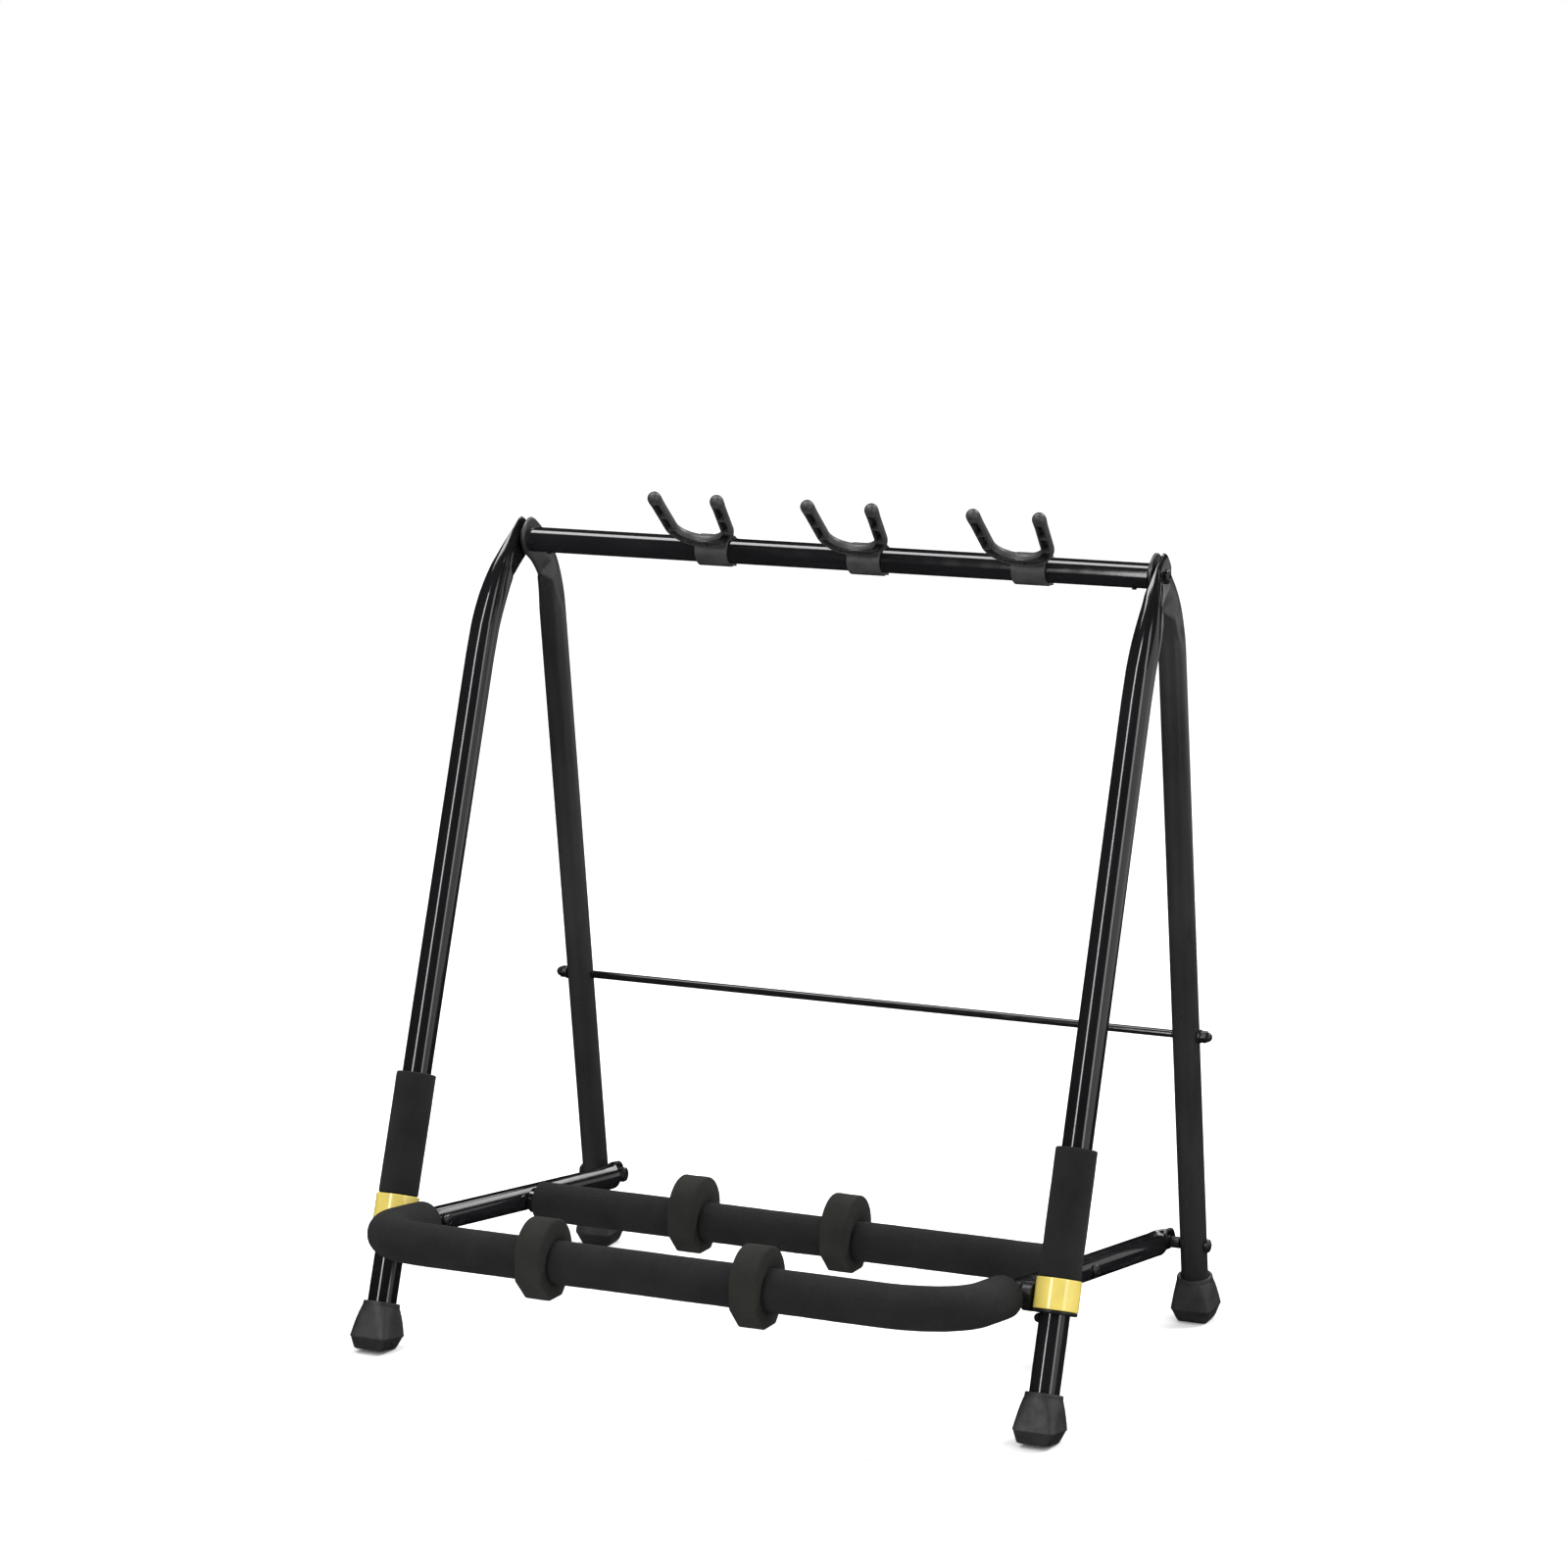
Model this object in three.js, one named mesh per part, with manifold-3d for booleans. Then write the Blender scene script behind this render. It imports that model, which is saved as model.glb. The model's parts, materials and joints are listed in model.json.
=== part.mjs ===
// A folding rack that stands three guitars side by side on a padded cradle, with a yoke for each neck.
// Millimetres. +Z is up, the front of the rack faces -Y, and the origin is on the floor.

import * as THREE from "three";
import { mergeVertices } from "three/addons/utils/BufferGeometryUtils.js";
import Module from "manifold-3d";

const wasm = await Module();
wasm.setup();

// ---- driving dimensions -------------------------------------------------------------------------

const GAP = 0.3; // clearance left between pieces that touch

// Both frames turn about the axis of the top bar.
const PIVOT_Y = 115.85;
const PIVOT_Z = 682;

// Side frames: how far the foot stands from the pivot, and how far inward or outward the leg leans.
const FRONT_FOOT_REACH = 270.3;
const FRONT_LEAN = THREE.MathUtils.degToRad(18.65);
const FRONT_LEG_X = 310;
const FRONT_LEG_RADIUS = 12.7;
const REAR_FOOT_REACH = 137.6;
const REAR_LEAN = THREE.MathUtils.degToRad(8.78);
const REAR_LEG_X = 298.3;
const REAR_LEG_RADIUS = 12;
const TUBE_WALL = 1.5;
const LEG_START = 10; // the tube's lower end, measured up the leg from the floor
const LEG_SIDES = 16;

// The top of each leg is pressed flat into an eye for the pivot bolt. Its outline is measured from
// the pivot: reach is along the leg, and inside and outside are its half widths towards each side of
// the bend. A higher corner power leaves a squarer corner at the end.
const FRONT_EYE = { x: 306, reach: 13.3, inside: 15.5, outside: 19, insideCorner: 1.5, outsideCorner: 4.3 };
const REAR_EYE = { x: 298, reach: 16, inside: 15.5, outside: 19.5, insideCorner: 1.6, outsideCorner: 2.6 };
const EYE_THICKNESS = 4;
const FRONT_BEND_RADIUS = 180;
const REAR_BEND_RADIUS = 82;

// The tube flattens from PRESS_START to PRESS_END, measured down the leg from the pivot. The inside
// of the bend is pressed first, and drops to the eye's thickness in a step.
const PRESS_START = 98;
const PRESS_END = 9;
const PRESS_POWER = 2.8;
const FRONT_STEP = { start: 43, end: 28 };
const REAR_STEP = { start: 50, end: 34 };

// Top bar and its fittings.
const BAR_RADIUS = 11.1;
const BAR_WALL = 1.2;
const BAR_END_X = 294.4;
const PIVOT_BOLT_RADIUS = 3.9;
const BOLT_HOLE_RADIUS = 4.3;
const BOLT_HEAD_RADIUS = 6.2;
const PIVOT_HEAD_HEIGHT = 2.8;
const BAR_RIVET_X = 279;
const BAR_RIVET_RADIUS = 1.6;
const BAR_RIVET_HEAD_RADIUS = 2.4;

// Stop pins that the collars rest on.
const STOP_PIN_RADIUS = 2.9;
const STOP_HEAD_RADIUS = 4;

// Tie rod between the rear legs.
const TIE_ROD_Z = 267.3;
const TIE_ROD_RADIUS = 3.5;
const TIE_ROD_THREAD_RADIUS = 2.9;
const TIE_ROD_HOLE_RADIUS = 3.3;
const TIE_ROD_END = 318;

// Cradle: a U of tube whose arms run back past the collars to the rear legs.
const ARM_X = 270.6;
const FRONT_BAR_REACH = 356.6;
const REAR_BAR_REACH = 72.8;
const CRADLE_BEND_RADIUS = 60;
const CRADLE_TUBE_RADIUS = 11.1;
const COLLAR_PIVOT_Z = 113; // where the arm's axis crosses the front leg's axis
const REAR_PIVOT_Z = 71.1; // where it crosses the rear leg's axis
const CRADLE_SIDES = 16;
const TAB_X = 275.6;
const TAB_THICKNESS = 4;
const TAB_HALF_WIDTH = 9.5;
const TAB_RISE = 3; // the tab's middle stands this far above the arm's axis
const TAB_FLAT = 8.5; // from the rear pivot forward to where the tab starts to thicken
const TAB_TAPER = 17;
const FRONT_FOAM_RADIUS = 18.3;
const FRONT_FOAM_END = 20; // from the collar pivot forward to the end of the foam
const REAR_FOAM_RADIUS = 17.5;
const REAR_FOAM_HALF_LENGTH = 252;
const SCREW_RADIUS = 3;

// Collars that slide on the front legs, measured from the collar pivot along the leg.
const COLLAR_BORE = 13.1;
const SLEEVE_RADIUS = 15;
const COLLAR_FLANGE_RADIUS = 18.5;
const COLLAR_BOTTOM = -12.1;
const COLLAR_FLANGE = 2.8;
const COLLAR_RING_RADIUS = 18.8;
const COLLAR_RING_TOP = 16.9;
const GRIP_RADIUS = 17.5;
const GRIP_TOP = 124.4;
const BOSS_RADIUS = 12.2;

// Dividers: foam blocks threaded on the cradle's foam.
const DIVIDER_THICKNESS = 24;
const DIVIDER_RADIUS = 29.5;
const DIVIDER_TOP = 36;
const DIVIDER_BOTTOM = -31;
const DIVIDER_SOLE = 11; // half of its flat underside
const REAR_DIVIDER_LIFT = 4;
const FRONT_DIVIDER_X = [-98, 98];
const REAR_DIVIDER_X = [-98, 49];

// Yokes: a clip on the top bar and a fork that leans forward at 45 degrees.
const YOKE_X = [-112.4, 33.6, 187];
const CLIP_LENGTH = 31;
const CLIP_WALL = 2.6;
const CLIP_MOUTH_ANGLE = THREE.MathUtils.degToRad(-12); // from straight back, upward positive
const CLIP_MOUTH_HALF = THREE.MathUtils.degToRad(60);
const FORK_TILT = THREE.MathUtils.degToRad(45);
const FORK_BASE_Y = -23.4;
const FORK_BASE_Z = 10.3;
const FORK_ARM_LENGTH = 56;
const FORK_BASE_HALF = 27.3;
const FORK_TIP_HALF = 30;
const FORK_ARM_RADIUS = 5.8;
const FORK_TIP_RADIUS = 6.2;

// Feet.
const FOOT_TOP = 42.5; // measured up the leg
const FOOT_TOP_RADIUS = 16;
const FOOT_WAIST = 13.4;
const FOOT_WAIST_HALF = 18.8;
const FOOT_WAIST_TILT = 0.45; // 0 is level with the floor and 1 is square to the leg
const FOOT_SOLE_HALF = 13.6;
const FOOT_SIDES = 24;

// ---- materials ----------------------------------------------------------------------------------

const paint = new THREE.MeshStandardMaterial({ color: 0x141416, roughness: 0.28, metalness: 0.2 });
const satinPaint = new THREE.MeshStandardMaterial({ color: 0x222225, roughness: 0.42, metalness: 0.2 });
const blackSteel = new THREE.MeshStandardMaterial({ color: 0x1a1a1c, roughness: 0.35, metalness: 0.7 });
const foam = new THREE.MeshStandardMaterial({ color: 0x232324, roughness: 0.95, metalness: 0 });
const dividerFoam = new THREE.MeshStandardMaterial({ color: 0x282926, roughness: 0.95, metalness: 0 });
const rubber = new THREE.MeshStandardMaterial({ color: 0x2b2b2d, roughness: 0.7, metalness: 0 });
const yokePlastic = new THREE.MeshStandardMaterial({ color: 0x343436, roughness: 0.55, metalness: 0 });
const blackPlastic = new THREE.MeshStandardMaterial({ color: 0x1c1c1d, roughness: 0.5, metalness: 0 });
const yellowPlastic = new THREE.MeshStandardMaterial({ color: 0xd9b83a, roughness: 0.3, metalness: 0 });
const nylon = new THREE.MeshStandardMaterial({ color: 0x1e1e1f, roughness: 0.5, metalness: 0 });

// ---- solids -------------------------------------------------------------------------------------

const rack = new THREE.Group();

function addPiece(name, geometry, material) {
  const mesh = new THREE.Mesh(geometry, material);
  mesh.name = name;
  rack.add(mesh);
}

function toSolid(geometry) {
  const bare = geometry.clone();
  bare.deleteAttribute("normal");
  bare.deleteAttribute("uv");
  const merged = mergeVertices(bare, 1e-4);
  return new wasm.Manifold(
    new wasm.Mesh({
      numProp: 3,
      vertProperties: new Float32Array(merged.attributes.position.array),
      triVerts: new Uint32Array(merged.index.array),
    }),
  );
}

function toGeometry(solid) {
  const mesh = solid.getMesh();
  const geometry = new THREE.BufferGeometry();
  geometry.setAttribute("position", new THREE.BufferAttribute(mesh.vertProperties, 3));
  geometry.setIndex(new THREE.BufferAttribute(mesh.triVerts, 1));
  geometry.computeVertexNormals();
  return geometry;
}

function subtract(geometry, ...cutters) {
  let solid = toSolid(geometry);
  for (const cutter of cutters) {
    solid = solid.subtract(toSolid(cutter));
  }
  return toGeometry(solid);
}

function unite(...geometries) {
  let solid = toSolid(geometries[0]);
  for (const geometry of geometries.slice(1)) {
    solid = solid.add(toSolid(geometry));
  }
  return toGeometry(solid);
}

// Six times the volume inside a closed skin: negative when its faces point inward.
function signedVolume(positions, indices) {
  const corner = (index) => new THREE.Vector3().fromArray(positions, 3 * index);
  let total = 0;
  for (let face = 0; face < indices.length; face += 3) {
    const [a, b, c] = indices.slice(face, face + 3).map(corner);
    total += a.dot(b.cross(c));
  }
  return total;
}

// A skin over rings of equal point count. The last ring joins the first when loop is true, and
// otherwise both ends are closed with a fan.
function loft(rings, loop = false) {
  const count = rings[0].length;
  const positions = rings.flat().flatMap((point) => [point.x, point.y, point.z]);
  const indices = [];
  const bands = loop ? rings.length : rings.length - 1;
  for (let band = 0; band < bands; band += 1) {
    const low = band * count;
    const high = ((band + 1) % rings.length) * count;
    for (let side = 0; side < count; side += 1) {
      const next = (side + 1) % count;
      indices.push(low + side, low + next, high + next);
      indices.push(low + side, high + next, high + side);
    }
  }
  if (!loop) {
    for (let side = 1; side < count - 1; side += 1) {
      indices.push(0, side + 1, side);
      const top = (rings.length - 1) * count;
      indices.push(top, top + side, top + side + 1);
    }
  }
  const geometry = new THREE.BufferGeometry();
  geometry.setAttribute("position", new THREE.Float32BufferAttribute(positions, 3));
  geometry.setIndex(signedVolume(positions, indices) < 0 ? indices.toReversed() : indices);
  geometry.computeVertexNormals();
  return geometry;
}

// Points around a centre. across and along span the ring's plane, and power sets its corners: 2 is
// an ellipse, and more makes a rounded rectangle.
function ring(centre, across, along, halfAcross, halfAlong, sides, power = 2) {
  const points = [];
  for (let side = 0; side < sides; side += 1) {
    const angle = (2 * Math.PI * side) / sides;
    const cos = Math.cos(angle);
    const sin = Math.sin(angle);
    const reach = (Math.abs(cos) ** power + Math.abs(sin) ** power) ** (-1 / power);
    points.push(
      centre
        .clone()
        .addScaledVector(across, halfAcross * reach * cos)
        .addScaledVector(along, halfAlong * reach * sin),
    );
  }
  return points;
}

// A turned piece: profile is [radius, position] pairs along an axis that starts at origin.
function turned(profile, origin, axis, sides = 16) {
  const points = profile.map(([radius, position]) => new THREE.Vector2(radius, position));
  const geometry = new THREE.LatheGeometry(points, sides);
  const turn = new THREE.Quaternion().setFromUnitVectors(new THREE.Vector3(0, 1, 0), axis);
  geometry.applyQuaternion(turn);
  geometry.translate(origin.x, origin.y, origin.z);
  return geometry;
}

function washer(inner, outer, start, end, origin, axis, sides = 16) {
  const profile = [
    [inner, start],
    [outer, start],
    [outer, end],
    [inner, end],
    [inner, start],
  ];
  return turned(profile, origin, axis, sides);
}

function rod(radius, start, end, origin, axis, sides = 12) {
  const profile = [
    [0, start],
    [radius, start],
    [radius, end],
    [0, end],
  ];
  return turned(profile, origin, axis, sides);
}

// A shank from origin along axis, with a domed button head on its far end.
function bolt(shankRadius, shankLength, headRadius, headHeight, origin, axis) {
  const profile = [
    [0, 0],
    [shankRadius, 0],
    [shankRadius, shankLength],
    [headRadius, shankLength],
    [headRadius, shankLength + headHeight * 0.35],
    [headRadius * 0.7, shankLength + headHeight * 0.85],
    [0, shankLength + headHeight],
  ];
  return turned(profile, origin, axis, 12);
}

const X_AXIS = new THREE.Vector3(1, 0, 0);
const pivot = (x) => new THREE.Vector3(x, PIVOT_Y, PIVOT_Z);
const outward = (side) => new THREE.Vector3(side, 0, 0);

// A cutter along X for a hole through whatever lies within halfLength of x.
function crossHole(radius, x, y, z, halfLength = 30) {
  return rod(radius, x - halfLength, x + halfLength, new THREE.Vector3(0, y, z), X_AXIS);
}

// ---- side frames --------------------------------------------------------------------------------

// A leg's axis in the side plane, as [y, z]. It runs straight up from the foot, and an arc at the
// top brings it over to the pivot. lean is positive for a leg whose top leans back.
function legAxis(footY, lean, bendRadius) {
  const up = new THREE.Vector2(Math.sin(lean), Math.cos(lean));
  const foot = new THREE.Vector2(footY, 0);
  const toPivot = new THREE.Vector2(PIVOT_Y, PIVOT_Z).sub(foot);
  const reach = toPivot.dot(up);
  const offset = toPivot.clone().addScaledVector(up, -reach);
  const inward = offset.clone().normalize();
  const sweep = Math.acos(1 - offset.length() / bendRadius);
  const bendStart = reach - bendRadius * Math.sin(sweep);
  const length = bendStart + bendRadius * sweep;

  // The point, the direction of travel and the way out of the bend, at a distance from the floor.
  const at = (distance) => {
    const turn = THREE.MathUtils.clamp((distance - bendStart) / bendRadius, 0, sweep);
    const heading = up.clone().multiplyScalar(Math.cos(turn)).addScaledVector(inward, Math.sin(turn));
    const outer = up.clone().multiplyScalar(Math.sin(turn)).addScaledVector(inward, -Math.cos(turn));
    const point = foot
      .clone()
      .addScaledVector(up, Math.min(distance, bendStart) + bendRadius * Math.sin(turn))
      .addScaledVector(inward, bendRadius * (1 - Math.cos(turn)))
      .addScaledVector(heading, Math.max(distance - length, 0));
    return { point, heading, outer };
  };
  return { at, length, bendStart, up, foot };
}

const frontAxis = legAxis(PIVOT_Y - FRONT_FOOT_REACH, FRONT_LEAN, FRONT_BEND_RADIUS);
const rearAxis = legAxis(PIVOT_Y + REAR_FOOT_REACH, -REAR_LEAN, REAR_BEND_RADIUS);

// The point of a straight leg's axis at a height above the floor.
function legPoint(axis, x, z) {
  return new THREE.Vector3(x, axis.foot.x + (z / axis.up.y) * axis.up.x, z);
}

const collarPivot = legPoint(frontAxis, 0, COLLAR_PIVOT_Z);
const rearPivot = legPoint(rearAxis, 0, REAR_PIVOT_Z);
const tieRodCentre = legPoint(rearAxis, 0, TIE_ROD_Z);
const legUp = new THREE.Vector3(0, frontAxis.up.x, frontAxis.up.y);
const stopPin = collarPivot.clone().addScaledVector(legUp, COLLAR_BOTTOM - GAP - STOP_HEAD_RADIUS);

// A tube leg. It is hollow up to the bend or the press, whichever comes first.
function legGeometry(axis, tubeX, eye, step, radius) {
  const eyeX = Math.sign(tubeX) * eye.x;

  // A section with its own half width and flatness towards each side of the bend.
  const section = (distance, inside, outside, flatInside = 0, flatOutside = 0, tube = radius) => {
    const { point, outer } = axis.at(distance);
    const flatness = (flatInside + flatOutside) / 2;
    const centre = new THREE.Vector3(THREE.MathUtils.lerp(tubeX, eyeX, flatness), point.x, point.y);
    return ring(centre, X_AXIS, new THREE.Vector3(0, outer.x, outer.y), 1, 1, LEG_SIDES, 2 + flatness).map(
      (corner) => {
        const offset = corner.sub(centre);
        const across = offset.y * outer.x + offset.z * outer.y;
        const blend = THREE.MathUtils.smoothstep(across, -1, 1);
        const local = THREE.MathUtils.lerp(flatInside, flatOutside, blend);
        const thick = THREE.MathUtils.lerp(tube, EYE_THICKNESS / 2, local);
        const reach = across * (across > 0 ? outside : inside);
        return new THREE.Vector3(
          centre.x + offset.x * thick,
          centre.y + outer.x * reach,
          centre.z + outer.y * reach,
        );
      },
    );
  };

  // The pressed section at a distance before the pivot.
  const pressed = (distance) => {
    const progress = (PRESS_START - distance) / (PRESS_START - PRESS_END);
    const lead = Math.min((PRESS_START - distance) / (PRESS_START - step.end), 1);
    const drop = THREE.MathUtils.smoothstep(-distance, -step.start, -step.end);
    const flatOutside = progress ** PRESS_POWER;
    const flatInside = Math.max(flatOutside, THREE.MathUtils.lerp(0.8 * lead ** 3, 1, drop));
    const inside = THREE.MathUtils.lerp(radius, eye.inside, drop);
    const outside = THREE.MathUtils.lerp(radius, eye.outside, progress ** 2);
    return section(axis.length - distance, inside, outside, flatInside, flatOutside);
  };

  // The rounded end of the eye, where fraction runs from the pivot to its tip.
  const tip = (fraction) => {
    const inside = eye.inside * (1 - fraction ** eye.insideCorner) ** (1 / eye.insideCorner);
    const outside = eye.outside * (1 - fraction ** eye.outsideCorner) ** (1 / eye.outsideCorner);
    return section(axis.length + eye.reach * fraction, inside, outside, 1, 1);
  };

  const boreTop = Math.min(axis.length - PRESS_START, axis.bendStart) - TUBE_WALL;
  const bore = radius - TUBE_WALL;
  const rings = [section(boreTop, bore, bore, 0, 0, bore), section(LEG_START, bore, bore, 0, 0, bore)];
  rings.push(section(LEG_START, radius, radius));
  rings.push(section(boreTop, radius, radius));
  const pressSteps = 13;
  for (let press = 0; press <= pressSteps; press += 1) {
    rings.push(pressed(THREE.MathUtils.lerp(PRESS_START, PRESS_END, press / pressSteps)));
  }
  for (const fraction of [0, 0.4, 0.68, 0.87, 0.97, 0.995]) {
    rings.push(tip(fraction));
  }
  return loft(rings);
}

function buildLegs(prefix, side) {
  const frontTube = legGeometry(frontAxis, side * FRONT_LEG_X, FRONT_EYE, FRONT_STEP, FRONT_LEG_RADIUS);
  const frontLeg = subtract(
    frontTube,
    crossHole(BOLT_HOLE_RADIUS, side * FRONT_LEG_X, PIVOT_Y, PIVOT_Z),
    crossHole(STOP_PIN_RADIUS + GAP, side * FRONT_LEG_X, stopPin.y, stopPin.z),
  );
  addPiece(`${prefix}_front_leg`, frontLeg, paint);

  const rearTube = legGeometry(rearAxis, side * REAR_LEG_X, REAR_EYE, REAR_STEP, REAR_LEG_RADIUS);
  const rearLeg = subtract(
    rearTube,
    crossHole(BOLT_HOLE_RADIUS, side * REAR_LEG_X, PIVOT_Y, PIVOT_Z),
    crossHole(TIE_ROD_HOLE_RADIUS, side * REAR_LEG_X, tieRodCentre.y, tieRodCentre.z),
    crossHole(BOLT_HOLE_RADIUS, side * REAR_LEG_X, rearPivot.y, rearPivot.z),
  );
  addPiece(`${prefix}_rear_leg`, rearLeg, satinPaint);

  const pinStart = side * (FRONT_LEG_X + FRONT_LEG_RADIUS - TUBE_WALL);
  const pinShank = 2 * FRONT_LEG_RADIUS - TUBE_WALL + GAP;
  const pinOrigin = new THREE.Vector3(pinStart, stopPin.y, stopPin.z);
  const pinHead = bolt(STOP_PIN_RADIUS, pinShank, STOP_HEAD_RADIUS, 4.5, pinOrigin, outward(-side));
  addPiece(`${prefix}_stop_pin`, pinHead, blackSteel);
}

// A rubber foot: a socket on the leg's axis, a square waist and a flat sole on the floor.
function footGeometry(axis, x, legRadius) {
  const legWidth = new THREE.Vector3(0, -axis.up.y, axis.up.x);
  const floorWidth = new THREE.Vector3(0, -1, 0);
  const centre = (distance) => new THREE.Vector3(x, ...axis.at(distance).point.toArray());
  const socket = legRadius + GAP;
  const socketFloor = LEG_START - GAP;
  const round = (distance, radius) =>
    ring(centre(distance), X_AXIS, legWidth, radius, radius, FOOT_SIDES);
  const square = (distance, half, power, tilt) => {
    const width = floorWidth.clone().lerp(legWidth, tilt);
    return ring(centre(distance), X_AXIS, width, half, half, FOOT_SIDES, power);
  };
  return loft([
    round(socketFloor, socket),
    round(FOOT_TOP, socket),
    round(FOOT_TOP, FOOT_TOP_RADIUS),
    square(FOOT_WAIST, FOOT_WAIST_HALF, 7, FOOT_WAIST_TILT),
    square(0, FOOT_SOLE_HALF, 5, 0),
  ]);
}

function buildFeet(prefix, side) {
  const front = footGeometry(frontAxis, side * FRONT_LEG_X, FRONT_LEG_RADIUS);
  addPiece(`${prefix}_front_foot`, front, rubber);
  const rear = footGeometry(rearAxis, side * REAR_LEG_X, REAR_LEG_RADIUS);
  addPiece(`${prefix}_rear_foot`, rear, rubber);
}

// ---- top bar and its pivots ---------------------------------------------------------------------

function buildTopBar() {
  const bar = washer(BAR_RADIUS - BAR_WALL, BAR_RADIUS, -BAR_END_X, BAR_END_X, pivot(0), X_AXIS);
  addPiece("top_bar", subtract(bar, rivetHole(-1), rivetHole(1)), paint);
}

// The rivets that pin the bar's end plugs go in from below.
const DOWN = new THREE.Vector3(0, 0, -1);
const rivetOrigin = (side) => pivot(side * BAR_RIVET_X);

function rivetHole(side) {
  return rod(BAR_RIVET_RADIUS + GAP, 5, 20, rivetOrigin(side), DOWN);
}

function buildBarRivet(prefix, side) {
  const shankStart = 6;
  const head = BAR_RADIUS + GAP;
  const origin = rivetOrigin(side).addScaledVector(DOWN, shankStart);
  const rivet = bolt(
    BAR_RIVET_RADIUS, head - shankStart, BAR_RIVET_HEAD_RADIUS, 1.3, origin, DOWN,
  );
  addPiece(`${prefix}_bar_rivet`, rivet, blackSteel);
}

function buildTopPivot(prefix, side) {
  const frontOuter = FRONT_EYE.x + EYE_THICKNESS / 2 + GAP;
  const rearInner = REAR_EYE.x - EYE_THICKNESS / 2 - GAP;
  const boltEnd = BAR_END_X - 20;
  const plugDepth = 30;
  const plugRadius = BAR_RADIUS - BAR_WALL - GAP;
  const plugProfile = [
    [BOLT_HOLE_RADIUS, BAR_END_X - plugDepth],
    [plugRadius, BAR_END_X - plugDepth],
    [plugRadius, BAR_END_X + GAP],
    [BAR_RADIUS - GAP, BAR_END_X + GAP],
    [BAR_RADIUS - GAP, rearInner],
    [BOLT_HOLE_RADIUS, rearInner],
    [BOLT_HOLE_RADIUS, BAR_END_X - plugDepth],
  ];
  const plug = subtract(turned(plugProfile, pivot(0), outward(side)), rivetHole(side));
  addPiece(`${prefix}_bar_plug`, plug, blackPlastic);

  const washerStart = REAR_EYE.x + EYE_THICKNESS / 2 + GAP;
  const washerEnd = FRONT_EYE.x - EYE_THICKNESS / 2 - GAP;
  const spacer = washer(BOLT_HOLE_RADIUS, 9, washerStart, washerEnd, pivot(0), outward(side));
  addPiece(`${prefix}_pivot_washer`, spacer, nylon);

  const shank = frontOuter - boltEnd;
  const pivotBolt = bolt(
    PIVOT_BOLT_RADIUS, shank, BOLT_HEAD_RADIUS, PIVOT_HEAD_HEIGHT, pivot(side * boltEnd), outward(side),
  );
  addPiece(`${prefix}_pivot_bolt`, pivotBolt, blackSteel);
}

// ---- tie rod ------------------------------------------------------------------------------------

function buildTieRod() {
  const shoulder = REAR_LEG_X - REAR_LEG_RADIUS - GAP;
  const profile = [
    [0, -TIE_ROD_END],
    [TIE_ROD_THREAD_RADIUS, -TIE_ROD_END],
    [TIE_ROD_THREAD_RADIUS, -shoulder],
    [TIE_ROD_RADIUS, -shoulder],
    [TIE_ROD_RADIUS, shoulder],
    [TIE_ROD_THREAD_RADIUS, shoulder],
    [TIE_ROD_THREAD_RADIUS, TIE_ROD_END],
    [0, TIE_ROD_END],
  ];
  addPiece("tie_rod", turned(profile, tieRodCentre, X_AXIS, 12), paint);
}

function buildTieRodNut(prefix, side) {
  const face = REAR_LEG_X + REAR_LEG_RADIUS + GAP;
  const washerThickness = 1.5;
  const plate = washer(
    TIE_ROD_HOLE_RADIUS, 6.2, face, face + washerThickness, tieRodCentre, outward(side),
  );
  addPiece(`${prefix}_tie_rod_washer`, plate, blackSteel);

  const nutStart = face + washerThickness + GAP;
  const nutRadius = 5.8;
  const hexLength = 5.5;
  const hex = rod(nutRadius, nutStart, nutStart + hexLength, tieRodCentre, outward(side), 6);
  const dome = new THREE.SphereGeometry(4.8, 12, 8);
  dome.translate(side * (nutStart + hexLength), tieRodCentre.y, tieRodCentre.z);
  const bore = rod(TIE_ROD_HOLE_RADIUS, nutStart - 1, TIE_ROD_END + 0.5, tieRodCentre, outward(side));
  addPiece(`${prefix}_acorn_nut`, subtract(unite(hex, dome), bore), blackSteel);
}

// ---- cradle -------------------------------------------------------------------------------------

// The cradle lies in one plane through both pivots. back points from the front bar to the rear.
const back = rearPivot.clone().sub(collarPivot).normalize();
const planeNormal = new THREE.Vector3().crossVectors(X_AXIS, back);
const cradlePoint = (x, y) => {
  const distance = (y - collarPivot.y) / back.y;
  return collarPivot.clone().setX(x).addScaledVector(back, distance);
};
const frontBar = cradlePoint(0, PIVOT_Y - FRONT_BAR_REACH);
const rearBar = cradlePoint(0, PIVOT_Y - REAR_BAR_REACH);
const collarPivotRun = collarPivot.clone().sub(frontBar).length();
const rearPivotRun = rearPivot.clone().sub(frontBar).length();

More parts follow.
